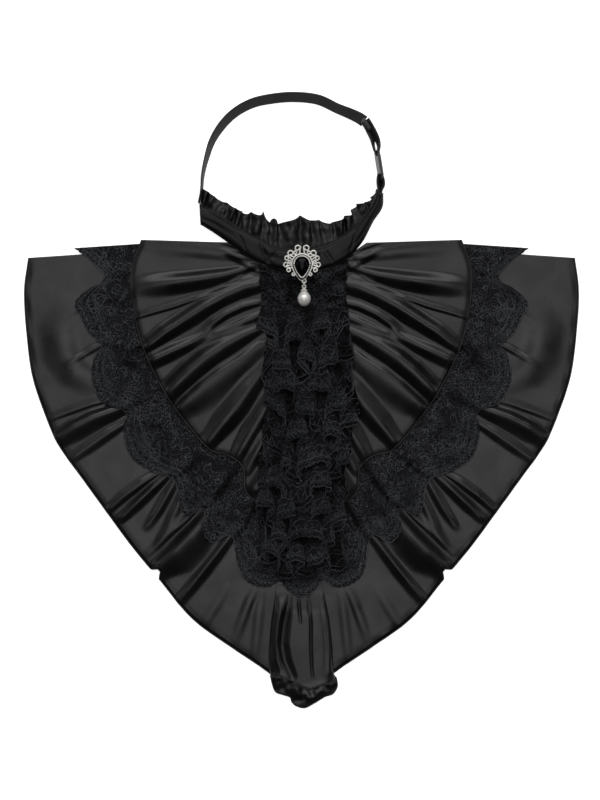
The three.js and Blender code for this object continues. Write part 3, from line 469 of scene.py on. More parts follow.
def read_table(rows, share):
    """Smooth columns of a table at shares, with Catmull-Rom slopes; the first column is the share."""
    rows = np.array(rows, float)
    share = np.asarray(share, float)
    key, value = rows[:, 0], rows[:, 1:]
    slope = np.empty_like(value)
    slope[1:-1] = (value[2:] - value[:-2]) / (key[2:] - key[:-2])[:, None]
    slope[0] = (value[1] - value[0]) / (key[1] - key[0])
    slope[-1] = (value[-1] - value[-2]) / (key[-1] - key[-2])
    i = np.clip(np.searchsorted(key, share) - 1, 0, len(key) - 2)
    span = key[i + 1] - key[i]
    t = np.clip((share - key[i]) / span, 0, 1)
    t2, t3, span = t * t, t * t * t, span[..., None]
    t, t2, t3 = t[..., None], t2[..., None], t3[..., None]
    return ((2 * t3 - 3 * t2 + 1) * value[i] + (t3 - 2 * t2 + t) * span * slope[i]
            + (3 * t2 - 2 * t3) * value[i + 1] + (t3 - t2) * span * slope[i + 1])


def place(px, py):
    """Millimetres of a point of the picture."""
    return (np.asarray(px) - MIDDLE_X) * PIXEL, (MIDDLE_Y - np.asarray(py)) * PIXEL


# ---------------------------------------------------------------- the tiers' tables, as in the solids
SLIT = 0.1
BOTTOM_GATHER = [(0, 0, -87), (0.05, SLIT, -80), (0.2, SLIT, -45), (0.4, SLIT, 12), (0.6, SLIT, 72),
                 (0.68, 2.7, 95), (0.76, 14.8, 103), (0.84, 27.7, 107.5), (0.92, 39.1, 113),
                 (1, 49.8, 119.7)]
BOTTOM_HEM = [(0, 0, -226), (0.02, 9, -222), (0.035, 18, -216), (0.05, 24.3, -208.5), (0.12, 52.8, -189),
              (0.2, 83.2, -166.8), (0.28, 109.1, -136), (0.36, 129.6, -111.3), (0.44, 148.6, -85.5),
              (0.52, 166.8, -60.4), (0.6, 185.1, -34.6), (0.68, 195.7, -11), (0.76, 205.6, 19.4),
              (0.84, 210.1, 53.6), (0.92, 211.7, 84), (1, 208.6, 109.1)]
UPPER_GATHER = [(0, 0, 0), (0.1, SLIT, 14), (0.3, SLIT, 46), (0.4, SLIT, 67.3), (0.5, 2.7, 87.8),
                (0.6, 11, 100.7), (0.7, 22.4, 106), (0.8, 31.5, 109.8), (0.9, 40.7, 114.4),
                (1, 49.8, 120.5)]
UPPER_HEM = [(0, 0, -96), (0.05, 20, -82), (0.09, 36, -76), (0.13, 43, -68), (0.165, 43.5, -59),
             (0.2, 44.5, -51), (0.235, 51, -44.5), (0.27, 59, -40.5), (0.31, 69, -38), (0.4, 84.7, -20.9),
             (0.5, 101.5, 1.9), (0.6, 115.9, 28.5), (0.7, 124.3, 52.1), (0.8, 128.8, 76.4),
             (0.9, 129.6, 100.7), (1, 122, 122.7)]
SCALLOPS = [(170.6, 114, -3), (149.3, 98.4, 18), (153.9, 42.9, 13), (137.2, -8.7, 19), (94.6, -61.2, 15),
            (70.3, -84, 14), (48.3, -100.7, 19), (15.6, -139.5, 8.5), (-15.6, -139.5, 0)]
# The lace's free edge on the left half, in picture pixels, from the top corner to the middle.
LACE_EDGE = [(58, 243), (70, 250), (79, 257), (88, 262), (97, 269), (104, 275), (101, 282), (91, 287),
             (83, 293), (77, 299), (75, 306), (81, 316), (88, 331), (96, 339), (102, 345), (95, 356),
             (92, 369), (93, 384), (99, 398), (109, 405), (120, 408), (127, 415), (124, 426), (125, 441),
             (130, 455), (139, 464), (152, 471), (165, 475), (173, 479), (178, 490), (180, 504), (185, 517),
             (194, 513), (203, 508), (205, 516), (202, 526), (206, 537), (214, 543), (223, 537), (232, 536),
             (236, 550), (238, 565), (243, 577), (254, 585), (268, 587), (280, 581), (286, 588), (293, 594),
             (301.5, 597)]
LACE_TUCK = 7

# Creases of the left half in picture pixels; the right half mirrors them. Each row of a crease is
# x, y, width of its gentle side, width of its steep side (both px) and height (mm). It runs from
# the gathers outwards, and the steep side is the lower one.
UPPER_CREASES = [
    [(246, 256, 5, 4, 0.4), (225, 253, 8, 8, 1.0), (200, 250, 11, 10, 1.2), (175, 248, 13, 12, 0.9),
     (148, 247, 12, 10, 0.2)],
    [(252, 266, 4, 4, 0.8), (240, 270, 5, 6, 2.0), (225, 274, 7, 9, 3.0), (200, 278, 10, 13, 3.8),
     (175, 281, 12, 16, 3.7), (152, 284, 13, 16, 2.3), (135, 287, 13, 14, 0.8)],
    [(224, 289, 5, 2, 0.3), (200, 297, 7, 2.4, 0.9), (175, 306, 8, 2.6, 1.0), (150, 313, 8, 2.6, 0.9),
     (134, 318, 7, 2.4, 0.5)],
    [(266, 282, 6, 7, 1.8), (245, 286, 9, 10, 3.3), (225, 295, 11, 11, 4.0), (205, 306, 12, 12, 4.2),
     (185, 319, 12, 12, 4.0), (165, 332, 12, 11, 3.6), (150, 344, 11, 9, 2.8), (139, 353, 9, 7, 1.2)],
    [(260, 302, 4, 3, 1.0), (243, 306, 6, 4, 2.0), (226, 314, 7, 4, 2.2), (214, 322, 8, 5, 1.6),
     (204, 331, 8, 6, 0.6), (197, 338, 7, 6, 0.0)],
    [(260, 314, 4, 6, 1.2), (243, 321, 4, 7, 2.0), (228, 329, 5, 7, 1.9), (216, 335, 6, 6, 1.2),
     (206, 341, 6, 6, 0.3)],
    [(212, 330, 4, 6, 0.2), (200, 337, 6, 8, 1.4), (186, 344, 8, 10, 2.4), (170, 351, 9, 12, 3.0),
     (155, 358, 9, 12, 2.8), (141, 364, 8, 10, 1.3)],
    [(262, 327, 5, 5, 1.0), (243, 335, 8, 9, 2.8), (225, 344, 10, 14, 4.0), (205, 357, 12, 18, 4.8),
     (190, 370, 14, 19, 4.7), (175, 385, 14, 17, 4.0), (162, 398, 12, 13, 2.4)],
    [(260, 344, 5, 9, 1.2), (242, 358, 6, 16, 2.8), (222, 371, 7, 22, 3.6), (202, 386, 7, 24, 3.6),
     (186, 400, 7, 22, 3.2), (173, 413, 6, 16, 1.8)],
    [(264, 368, 8, 7, 1.4), (250, 388, 11, 9, 3.3), (238, 405, 13, 11, 3.8), (223, 423, 13, 11, 3.6),
     (209, 441, 11, 9, 2.4), (200, 452, 8, 7, 1.0)],
    [(272, 396, 7, 7, 1.6), (262, 414, 9, 9, 3.0), (252, 431, 10, 10, 3.2), (242, 448, 9, 9, 2.6),
     (234, 462, 7, 7, 1.2)],
    [(272, 424, 6, 6, 1.4), (263, 440, 7, 7, 2.2), (255, 455, 7, 7, 2.0), (247, 470, 6, 6, 1.0)],
    [(280, 450, 6, 6, 1.2), (268, 470, 8, 8, 2.2), (256, 488, 8, 8, 1.4)],
    [(262, 272, 3, 3, 0.9), (250, 265, 4, 4, 1.5), (238, 258, 4, 4, 1.3), (224, 250, 4, 4, 0.3)],
    [(252, 276, 3, 3, 0.6), (243, 277, 4, 4, 1.0), (230, 281, 4, 4, 0.4)],
    [(250, 252, 3, 3, 0.9), (240, 247, 4, 3, 1.2), (228, 243, 4, 3, 0.9), (212, 240, 5, 4, 0.2)],
    [(258, 259, 3, 3, 0.9), (246, 257, 4, 3, 1.2), (232, 253, 4, 4, 0.5)],
]
BOTTOM_CREASES = [
    [(66, 306, 20, 14, 0.2), (60, 330, 28, 18, 1.4), (64, 352, 28, 18, 2.0), (76, 370, 26, 17, 2.0),
     (95, 381, 22, 14, 1.0)],
    [(72, 318, 10, 6, 0.4), (84, 311, 10, 6, 0.7), (98, 308, 8, 5, 0.5)],
    [(104, 343, 6, 3, 0.9), (92, 349, 6, 3.5, 1.1), (78, 357, 5, 4, 0.7), (64, 366, 4, 4, 0.2)],
    [(106, 401, 9, 2.6, 0.7), (90, 405, 9, 2.8, 1.0), (70, 412, 9, 2.6, 0.9), (46, 421, 8, 2.4, 0.4)],
    [(128, 402, 6, 12, 1.6), (112, 410, 8, 15, 3.4), (92, 417, 9, 17, 4.1), (72, 427, 9, 18, 3.9),
     (56, 438, 8, 14, 2.4)],
    [(128, 420, 6, 6, 1.0), (108, 432, 7, 9, 1.9), (88, 446, 7, 9, 1.6), (68, 460, 6, 8, 0.8)],
    [(160, 472, 6, 4, 1.0), (142, 483, 7, 6, 2.0), (124, 496, 7, 6, 2.0), (107, 511, 6, 5, 1.2)],
    [(168, 474, 5, 6, 1.4), (152, 488, 6, 8, 2.7), (136, 503, 6, 9, 2.6), (121, 518, 6, 7, 1.4)],
    [(175, 480, 5, 5, 1.2), (167, 494, 6, 7, 2.3), (158, 510, 6, 7, 1.9), (147, 527, 6, 6, 0.7)],
    [(184, 485, 5, 6, 0.9), (178, 504, 7, 7, 1.5), (169, 525, 8, 8, 1.1), (158, 545, 7, 7, 0.4)],
    [(200, 506, 8, 2.6, 0.7), (187, 520, 10, 3, 1.1), (170, 535, 10, 3, 0.9), (150, 554, 9, 3, 0.4)],
    [(218, 504, 8, 9, 1.8), (205, 519, 10, 22, 4.2), (189, 536, 10, 30, 5.2), (173, 552, 10, 30, 5.0),
     (159, 565, 9, 20, 3.4)],
    [(234, 531, 4, 7, 0.9), (218, 551, 4, 9, 2.4), (203, 570, 4, 10, 2.8), (188, 589, 5, 9, 2.4),
     (175, 605, 5, 8, 1.2)],
    [(256, 590, 8, 5, 0.4), (249, 604, 9, 6, 0.9), (241, 626, 9, 6, 0.7), (234, 645, 8, 6, 0.2)],
    [(226, 590, 8, 6, 0.2), (214, 610, 10, 7, 0.6), (204, 626, 10, 7, 0.4)],
    [(262, 592, 6, 6, 0.3), (259, 615, 8, 7, 0.7), (256, 645, 8, 7, 0.6), (254, 662, 6, 6, 0.3)],
]


# Where the edging's lobes lie over one another, darkened as painted shade, or show a plain field of darker
# net, laid out as the creases, 0 to 1.
LACE_SHADED_GAPS_AND_FIELDS = [
    [(170, 481, 3, 3, 0.7), (186, 471, 5, 4, 0.8), (201, 457, 6, 5, 0.6)],
    [(181, 519, 2, 3, 0.7), (196, 512, 3, 3, 0.8), (211, 504, 4, 4, 0.8), (223, 489, 6, 6, 0.8),
     (237, 468, 6, 6, 0.7)],
    [(219, 512, 6, 5, 0.4), (224, 524, 6, 5, 0.4)],
    [(234, 541, 3, 3, 0.7), (243, 530, 4, 4, 0.8), (250, 516, 5, 5, 0.8), (258, 503, 6, 6, 0.8)],
    [(101, 345, 3, 3, 0.5), (118, 349, 6, 5, 0.5), (128, 352, 9, 8, 0.7), (140, 348, 8, 6, 0.7)],
    [(124, 360, 9, 8, 0.6), (136, 368, 8, 8, 0.6)],
    [(124, 411, 3, 3, 0.6), (136, 404, 4, 4, 0.6), (150, 398, 4, 4, 0.4)],
    [(148, 424, 10, 9, 0.45), (168, 436, 10, 9, 0.45)],
    [(104, 277, 3, 3, 0.4), (116, 276, 4, 4, 0.5), (128, 272, 4, 4, 0.3)],
    [(106, 302, 8, 8, 0.4), (120, 304, 8, 8, 0.4)],
    [(262, 560, 8, 8, 0.3), (256, 545, 8, 8, 0.4)],
    [(283, 585, 3, 3, 0.7), (288, 572, 4, 4, 0.6)],
]


def crease_height(creases, x, y, mirrored=True, spread=1.0):
    """Height in mm that the listed creases give at points in mm; spread widens their sides."""
    px, py = MIDDLE_X - (np.abs(x) if mirrored else -x) / PIXEL, MIDDLE_Y - y / PIXEL
    total = np.zeros(np.shape(px))
    for rows in creases:
        rows = np.array(rows, float)
        best = np.full(px.shape, 1e9)
        found = np.zeros(px.shape)
        for a, b in zip(rows[:-1], rows[1:]):
            dx, dy = b[0] - a[0], b[1] - a[1]
            t = np.clip(((px - a[0]) * dx + (py - a[1]) * dy) / (dx * dx + dy * dy), 0, 1)
            ex, ey = px - a[0] - t * dx, py - a[1] - t * dy
            gap = np.hypot(ex, ey)
            width = np.where(dx * ey - dy * ex < 0, a[3] + t * (b[3] - a[3]), a[2] + t * (b[2] - a[2]))
            high = a[4] + t * (b[4] - a[4])
            value = high * hump(gap / (width * spread))
            near = gap < best
            best, found = np.where(near, gap, best), np.where(near, value, found)
        total += found
    return total


def slow_waves(x, y, size, seed, count=5):
    """Uneven slow waves between -1 and 1, from a few crossed sines."""
    draw = np.random.default_rng(seed)
    total = np.zeros(np.shape(x))
    for _ in range(count):
        angle, phase, scale = draw.uniform(0, math.pi), draw.uniform(0, 6.28), draw.uniform(0.7, 1.5)
        total += np.sin((x * math.cos(angle) + y * math.sin(angle)) * 2 * math.pi / (size * scale) + phase)
    return total / count


def rays(gather, hem, shares, along):
    """Points in plan on the left and right rays of a tier: [column, row], left edge to right edge."""
    inner, outer = read_table(gather, shares), read_table(hem, shares)
    half = inner[:, None] + along[..., None] * (outer - inner)[:, None]
    left, right = half[::-1].copy(), half[1:]
    left[..., 0] *= -1
    return np.concatenate([left, right])


def crossing(gather, hem, shares, line):
    """How far along each ray a line is crossed, the farthest crossing."""
    a, b = read_table(gather, shares), read_table(hem, shares)
    best = np.zeros(len(shares))
    for c, d in zip(line[:-1], line[1:]):
        cross = (b[:, 0] - a[:, 0]) * (d[1] - c[1]) - (b[:, 1] - a[:, 1]) * (d[0] - c[0])
        cross = np.where(np.abs(cross) < 1e-9, 1e-9, cross)
        t = ((c[0] - a[:, 0]) * (d[1] - c[1]) - (c[1] - a[:, 1]) * (d[0] - c[0])) / cross
        u = ((c[0] - a[:, 0]) * (b[:, 1] - a[:, 1]) - (c[1] - a[:, 1]) * (b[:, 0] - a[:, 0])) / cross
        best = np.where((u > -0.001) & (u < 1.001) & (t > best), t, best)
    return best


def smooth_line(points, steps=4):
    """Catmull-Rom curve through points given in pixels, as millimetres on the right half."""
    x, y = place(*np.array(points, float).T)
    rows = np.stack([np.arange(len(points)), -x, y], 1)
    return read_table(rows, np.linspace(0, len(points) - 1, (len(points) - 1) * steps + 1))


# ---------------------------------------------------------------- heights of the layers (mm)
BOTTOM_TOP, LACE_TOP = 1.5, 2.8
UPPER_NECK_TOP, UPPER_HEM_TOP = 3.4, 4.6
hem_shares = np.linspace(0, 1, 161)
upper_hem_line = read_table(UPPER_HEM, hem_shares)


def bottom_height(x, y):
    """Top of the lower tier with its creases."""
    return BOTTOM_TOP + crease_height(BOTTOM_CREASES, x, y) + 0.12 * slow_waves(x, y, 70, 3)


def lace_height(x, y):
    """Top of the lace edging, which follows the lower tier."""
    waves = 0.5 * slow_waves(x, y, 15, 5) + 0.35 * slow_waves(x, y, 7, 6)
    hollows = 0.9 * np.minimum(crease_height(LACE_SHADED_GAPS_AND_FIELDS, x, y), 1)
    return bottom_height(x, y) - BOTTOM_TOP + LACE_TOP + 0.3 + waves - hollows


def upper_height(x, y):
    """Top of the upper tier, whose folds widen towards the gathers."""
    reach = np.clip(np.hypot(np.abs(x), (y - 60) * 0.6) / 110, 0, 1)
    gathers = 1 - smoothstep(np.abs(x), 40, 95)
    folds = crease_height(UPPER_CREASES, x, y, spread=1 + 0.38 * gathers)
    return UPPER_NECK_TOP + (UPPER_HEM_TOP - UPPER_NECK_TOP) * reach + folds


def ground_height(x, y):
    """Top of the upper tier, also above its gathers, where the cascade lies on it."""
    return np.maximum(upper_height(x, y), UPPER_NECK_TOP)


def both_sides(half):
    """Values of the left half's rays, repeated for the right half."""
    return np.concatenate([half[::-1], half[1:]])


def with_height(plan, height):
    """A grid of points from its plan and its heights."""
    return np.concatenate([plan, height[..., None]], axis=-1)


# ---------------------------------------------------------------- lower tier
def make_bottom_tier():
    """The lower tier, plain where the upper one covers it, with hem and stitches."""
    shares = np.linspace(0, 1, 281)
    start = np.minimum(crossing(BOTTOM_GATHER, BOTTOM_HEM, shares, upper_hem_line), 0.85)
    inner = np.linspace(0, 1, 7, endpoint=False)
    outer = np.linspace(0, 1, 43)
    along = np.concatenate([inner[None] * start[:, None] * 0.94,
                            start[:, None] * 0.94 + outer[None] * (1 - start[:, None] * 0.94)], axis=1)
    notch = smoothstep(shares, 0.281, 0.2835) * (1 - smoothstep(shares, 0.292, 0.302))
    along = along * (1 - 0.028 * notch[:, None] * smoothstep(along, 0.8, 1))
    plan = rays(BOTTOM_GATHER, BOTTOM_HEM, shares, along)
    x, y = plan[..., 0], plan[..., 1]
    both, both_start = both_sides(along), both_sides(start)[:, None]
    to_hem = (1 - both) * np.linalg.norm(plan[:, -1] - plan[:, 0], axis=1)[:, None]
    shown = smoothstep(both, both_start * 0.92, both_start * 1.02)
    height = BOTTOM_TOP + (bottom_height(x, y) - BOTTOM_TOP) * shown - 0.4 * (1 - smoothstep(to_hem, 0, 5))
    height += 0.25 * np.sin(x * 0.35 + y * 0.22) * (1 - smoothstep(to_hem, 0, 5))
    top = with_height(plan, height)
    piece = shell("bottom_tier_satin", top, SATIN_WALL, SATIN_LOW_PAINTED_LIGHT, "black_satin")
    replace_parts(piece, "bottom_tier")
    hem = rolled_hem("bottom_tier_hem", top, 0.2, 0.5)
    stitch("bottom_tier_stitches", top[:, -3])
    return piece, hem


def points_at(run, path, at):
    """Points of a path at running lengths, where run is its own running length."""
    return np.stack([np.interp(at, run, path[:, k]) for k in range(3)], 1)


def stitch(name, path):
    """Short raised stitches along a seam line."""
    run = length_along(path)
    cords = Cords()
    for s in np.arange(STITCH_PITCH, run[-1] - STITCH_PITCH, STITCH_PITCH):
        at = np.linspace(s, s + STITCH_PITCH * 0.62, 3)
        cords.add(points_at(run, path, at) + [0, 0, 0.05], 0.14, 3)
    cords.piece(name, THREAD_PAINTED_LIGHTER, "black_satin")


bottom_piece, bottom_hem = make_bottom_tier()


# ---------------------------------------------------------------- lace edging
def make_lace_edging():
    """The scalloped edging, its inner edge tucked under the upper tier's hem."""
    shares = np.linspace(0, 1, 441)
    line = smooth_line(LACE_EDGE)
    a, b = read_table(BOTTOM_GATHER, shares), read_table(BOTTOM_HEM, shares)
    length = np.linalg.norm(b - a, axis=1)
    inner = crossing(BOTTOM_GATHER, BOTTOM_HEM, shares, upper_hem_line) - LACE_TUCK / length
    outer = crossing(BOTTOM_GATHER, BOTTOM_HEM, shares, line)
    outer = np.maximum(outer, inner + 2 * LACE_TUCK / length)
    outer = outer + 0.9 * np.abs(np.sin(shares * 250)) / length
    v = np.linspace(0, 1, 22)
    along = inner[:, None] + v[None] * (outer - inner)[:, None]
    plan = rays(BOTTOM_GATHER, BOTTOM_HEM, shares, along)
    plan[..., 1] += both_sides(5 * smoothstep(shares, 0.9, 1))[:, None]
    x, y = plan[..., 0], plan[..., 1]
    top = with_height(plan, lace_height(x, y))
    # Painted shade in the gaps where lobes lie over one another, and the darker plain net of the fields.
    marks = edge_marks(top, np.clip(crease_height(LACE_SHADED_GAPS_AND_FIELDS, x, y), 0, 0.85))
    piece = shell("lace_edging_net", top, LACE_WALL, LACE, "black_lace", marks=marks)
    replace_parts(piece, "lace_edging")
    cords = Cords()
    cords.add(top[:, -1] + [0, 0, 0.1], 0.55, 5)
    for back, radius in ((2, 0.32), (4, 0.38), (6, 0.25)):
        cords.add(top[:, -1 - back] + [0, 0, 0.12], radius, 4)
    stitches = top[:, -5].copy()
    stitches[::2] = top[::2, -3]
    cords.add(stitches + [0, 0, 0.1], 0.24, 3)
    return piece, cords


lace_piece, lace_cords = make_lace_edging()


def trace(cords, x, y, turn, u, w, height, radius, sides=4, closed=True, lift=0.0):
    """A cord through points u ahead of and w beside a place, turned with it and laid on a height."""
    px = x + u * math.cos(turn) - w * math.sin(turn)
    py = y + u * math.sin(turn) + w * math.cos(turn)
    cords.add(np.stack([px, py, height(px, py) + lift], 1), radius, sides, closed)


def rosette(cords, x, y, size, turn, height, petals=6, radius=0.3):
    """A flower outline of petals round a ring."""
    t = np.linspace(0, 2 * math.pi, 13, endpoint=False)
    u, w = 0.56 * size + 0.42 * size * np.cos(t), 0.3 * size * np.sin(t) * (1 + 0.25 * np.cos(t))
    for k in range(petals):
        trace(cords, x, y, turn + 2 * math.pi * k / petals, u, w, height, radius)
    t = np.linspace(0, 2 * math.pi, 9, endpoint=False)
    trace(cords, x, y, 0, 0.14 * size * np.cos(t), 0.14 * size * np.sin(t), height, radius, lift=0.1)


def leaf(cords, x, y, size, turn, height, radius=0.28):
    """A leaf outline with a finer midrib."""
    t = np.linspace(0, 2 * math.pi, 15, endpoint=False)
    u, w = size * (0.5 - 0.5 * np.cos(t)), 0.24 * size * np.sin(t) * np.abs(np.sin(t)) ** 0.3
    trace(cords, x, y, turn, u, w, height, radius)
    u = np.linspace(0.1, 0.9, 5) * size
    trace(cords, x, y, turn, u, 0 * u, height, radius * 0.8, 3, False)


def scroll(cords, x, y, size, turn, wind, height, radius=0.3):
    """A cord that curls inwards."""
    t = np.linspace(0, 1, 18)
    a, r = turn + wind * t * 5.2, size * (1 - 0.78 * t)
    trace(cords, x, y, 0, r * np.cos(a), r * np.sin(a), height, radius, 4, False)


def dress_lace_edging():
    """Flowers, leaves and scrolls in each scallop, the same on both sides."""
    raised = lambda px, py: lace_height(px, py) + 0.15
    for k, ((ax, ay, depth), (bx, by, _)) in enumerate(zip(SCALLOPS[:-2], SCALLOPS[1:-1])):
        if depth < 0:
            continue
        chord = math.hypot(bx - ax, by - ay)
        nx, ny = -(by - ay) / chord, (bx - ax) / chord
        mx, my = (ax + bx) / 2, (ay + by) / 2
        face = math.atan2(ny, nx)
        for side in (-1, 1):
            spot = lambda u, w: (side * (mx + nx * u + (bx - ax) / chord * w),
                                 my + ny * u + (by - ay) / chord * w)
            turned = lambda a: face + a if side > 0 else math.pi - face - a
            size = min(11.0, chord * 0.23)
            x, y = spot(depth * 0.2 - 2, 0)
            rosette(lace_cords, x, y, size, turned(0.3), raised)
            for w in (-1, 1):
                x, y = spot(depth * 0.1 - 3, w * chord * 0.17)
                leaf(lace_cords, x, y, size * 0.95, turned(w * 0.9), raised)
                x, y = spot(-2.5, w * chord * 0.34)
                scroll(lace_cords, x, y, size * 0.5, turned(w * 2.2), w * side, raised)
                x, y = spot(-9, w * chord * 0.2)
                leaf(lace_cords, x, y, size * 0.8, turned(math.pi + w * 0.6), raised)
            x, y = spot(-10, 0)
            scroll(lace_cords, x, y, size * 0.45, turned(1.2), side, raised)
    return lace_cords.piece("lace_edging_cords", LACE_CORD, "black_lace")


lace_cord_piece = dress_lace_edging()


# ---------------------------------------------------------------- upper tier
def make_upper_tier():
    """The upper tier with hem and stitches."""
    shares = np.linspace(0, 1, 241)
    along = np.broadcast_to(np.linspace(0, 1, 62) ** 0.92, (len(shares), 62))
    plan = rays(UPPER_GATHER, UPPER_HEM, shares, along)
    x, y = plan[..., 0], plan[..., 1]
    to_hem = (1 - both_sides(along)) * np.linalg.norm(plan[:, -1] - plan[:, 0], axis=1)[:, None]
    height = upper_height(x, y) - 0.5 * (1 - smoothstep(to_hem, 0, 4)) + 0.1 * slow_waves(x, y, 60, 9)
    top = with_height(plan, height)
    piece = shell("upper_tier_satin", top, SATIN_WALL, SATIN, "black_satin")
    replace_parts(piece, "upper_tier")
    hem = rolled_hem("upper_tier_hem", top, 0.15, 0.5)
    stitch("upper_tier_stitches", top[:, -3])
    return piece, hem


upper_piece, upper_hem = make_upper_tier()


# ---------------------------------------------------------------- centre pleat
PLEAT_SIDES = [(0, 276, 322), (0.15, 274.5, 325.5), (0.4, 271, 330), (0.65, 269, 332.5),
               (0.85, 268.5, 333.5), (1, 270, 335)]
PLEAT_HEM = [(0, 678), (0.15, 677), (0.32, 681), (0.48, 687), (0.62, 690), (0.75, 687), (0.9, 684.5),
             (1, 681)]
PLEAT_TOP = 586
# Folds of the pleat in picture pixels, laid out as the tiers' creases; a trough has a negative height.
PLEAT_FOLDS = [
    [(291, 590, 3, 4, -1.2), (288, 606, 5, 6, -2.6), (284, 625, 6, 8, -3.0), (282, 645, 6, 8, -3.0),
     (285, 662, 5, 8, -2.4), (292, 678, 4, 7, -1.2)],
    [(299, 590, 2.4, 2.4, -2.4), (299, 606, 2.4, 2.4, -2.4), (300, 618, 2, 2, -0.8), (301, 627, 2, 2, 0)],
    [(308.5, 590, 2, 2, -2.0), (308.5, 606, 2, 2, -1.6), (309, 615, 2, 2, -0.2)],
    [(310, 604, 1.8, 1.8, -0.5), (311, 625, 2.2, 2.2, -1.0), (311, 650, 2.2, 2.2, -1.0),
     (312, 672, 2, 2, -0.7), (314, 684, 2, 2, 0)],
    [(321, 592, 4, 4, 0.3), (326, 612, 5, 4, 0.9), (329, 632, 5, 3, 1.1), (330.5, 652, 5, 3, 0.9),
     (330, 674, 5, 3, 0.5)],
    [(283, 592, 5, 5, 0.4), (279, 615, 5, 5, 1.0), (276, 640, 5, 5, 1.1), (277, 660, 5, 5, 0.8),
     (281, 674, 4, 4, 0.3)],
]


def make_pleat():
    """The middle of the lower tier folded over itself: a soft tube with a few deep folds."""
    down, across = np.linspace(0, 1, 70), np.linspace(0, 1, 110)
    left, right = read_table(PLEAT_SIDES, down).T
    px = left[None] + across[:, None] * (right - left)[None]
    hem = read_table(PLEAT_HEM, across)[:, 0]
    py = PLEAT_TOP + (hem[:, None] - PLEAT_TOP) * down[None]
    x, y = place(px, py)
    round_ = np.clip(1 - np.abs(2 * across[:, None] - 1) ** 5, 0, 1) ** 0.5
    grow = smoothstep(down, 0.04, 0.3)[None]
    z = (3.9 * round_ + crease_height(PLEAT_FOLDS, x, y, mirrored=False)) * grow
    z = z + 0.6 * np.exp(-((down[None] - 1) / 0.03) ** 2) * (0.5 + 0.5 * np.sin(across[:, None] * 11))
    top = np.stack([x, y, np.maximum(z, 0) + BOTTOM_TOP + 0.55], -1)
    piece = shell("centre_pleat_satin", top, SATIN_WALL, SATIN_LOW_PAINTED_LIGHT, "black_satin")
    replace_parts(piece, "centre_pleat")
    return piece, rolled_hem("centre_pleat_hem", top, 0.1, 0.5)


pleat_piece, pleat_hem = make_pleat()
TIP_EDGE = [(270, 674), (272, 685), (275.5, 693.5), (283, 696.5), (290, 699), (292, 704), (297, 708),
            (305, 709.5), (315, 704.5), (325, 698.5), (333, 695.5), (337.5, 688), (336.5, 679)]


def make_tip():
    """The crumpled end of the hem, turned up below the pleat."""
    across, down = np.linspace(0, 1, 100), np.linspace(0, 1, 20)
    hem = read_table(PLEAT_HEM, across)[:, 0] - 5
    inner = np.stack([270.5 + 64 * across, hem], 1)
    outer = read_table([(i / (len(TIP_EDGE) - 1), *p) for i, p in enumerate(TIP_EDGE)], across)
    flat = inner[:, None] + (outer - inner)[:, None] * down[None, :, None]
    x, y = place(flat[..., 0], flat[..., 1])
    z = 2.3 + 1.1 * slow_waves(x, y, 13, 31) + 0.6 * slow_waves(x, y, 6, 32)
    towards_edge = (1 - smoothstep(down, 0.55, 1) * 0.8)[None]
    z = 0.9 + (z - 0.9) * towards_edge * (0.4 + 0.6 * np.sin(np.pi * across) ** 0.4)[:, None]
    top = np.stack([x, y, z], -1)
    piece = shell("bottom_tier_tip", top, SATIN_WALL, SATIN_LOW_PAINTED_LIGHT, "black_satin")
    return piece, rolled_hem("bottom_tier_tip_hem", top, 0.1, 0.45)


tip_piece, tip_hem = make_tip()


# ---------------------------------------------------------------- lace fall and cascade
def uneven(t, seed, count=4, low=3.0, high=11.0):
    """Uneven waves along a share t, from sines of low to high turns."""
    draw = np.random.default_rng(seed)
    total = np.zeros_like(t)
    for _ in range(count):
        turns, phase = draw.uniform(low, high), draw.uniform(0, 6.28)
        total += np.sin(t * turns * 2 * math.pi + phase) * draw.uniform(0.5, 1)
    return total / count


def vines(cords, top, rows, seed, swing, radius=0.26):
    """Wavy cords that run along a lace grid near the given rows."""
    t = np.linspace(0, 1, len(top))
    i = np.arange(len(top))
    for k, row in enumerate(rows):
        at = np.clip(row + swing * uneven(t, seed + k, 4, 2.0, 16.0), 0, top.shape[1] - 1.001)
        low = at.astype(int)
        part = (at - low)[:, None]
        cords.add(top[i, low] * (1 - part) + top[i, low + 1] * part + [0, 0, 0.2], radius, 4)


BAND_ROWS = [(0.0, -77.9, 149.3, -77.1, 134.9, 4.6), (0.12, -66.5, 144.0, -65.0, 127.3, 4.8),
             (0.25, -49.0, 132.6, -49.8, 116.6, 5.6), (0.37, -30.0, 122.0, -35.3, 106.8, 5.7),
             (0.45, -17.9, 116.7, -17.9, 100.7, 5.5), (0.53, -1.1, 115.9, -1.1, 98.4, 5.5),
             (0.62, 15.6, 118.2, 17.9, 100.7, 5.5), (0.72, 31.5, 125.8, 33.1, 107.5, 5.7),
             (0.82, 42.9, 135.7, 46.0, 121.2, 5.4), (0.9, 51.6, 146.3, 54.5, 137.2, 4.8),
             (0.955, 55.6, 153.6, 61.2, 147.6, 4.7), (1.0, 57.6, 161.4, 61.9, 158.2, 4.6)]
BAND_LOWER = [(r[0], r[3], r[4]) for r in BAND_ROWS]
# Middle and radius (mm) of the plain spot of the throat's lace round the hanging pearl.
CLEAR_X, CLEAR_Y, CLEAR_REACH = 2, 81, 16
FALL_HALF = 34


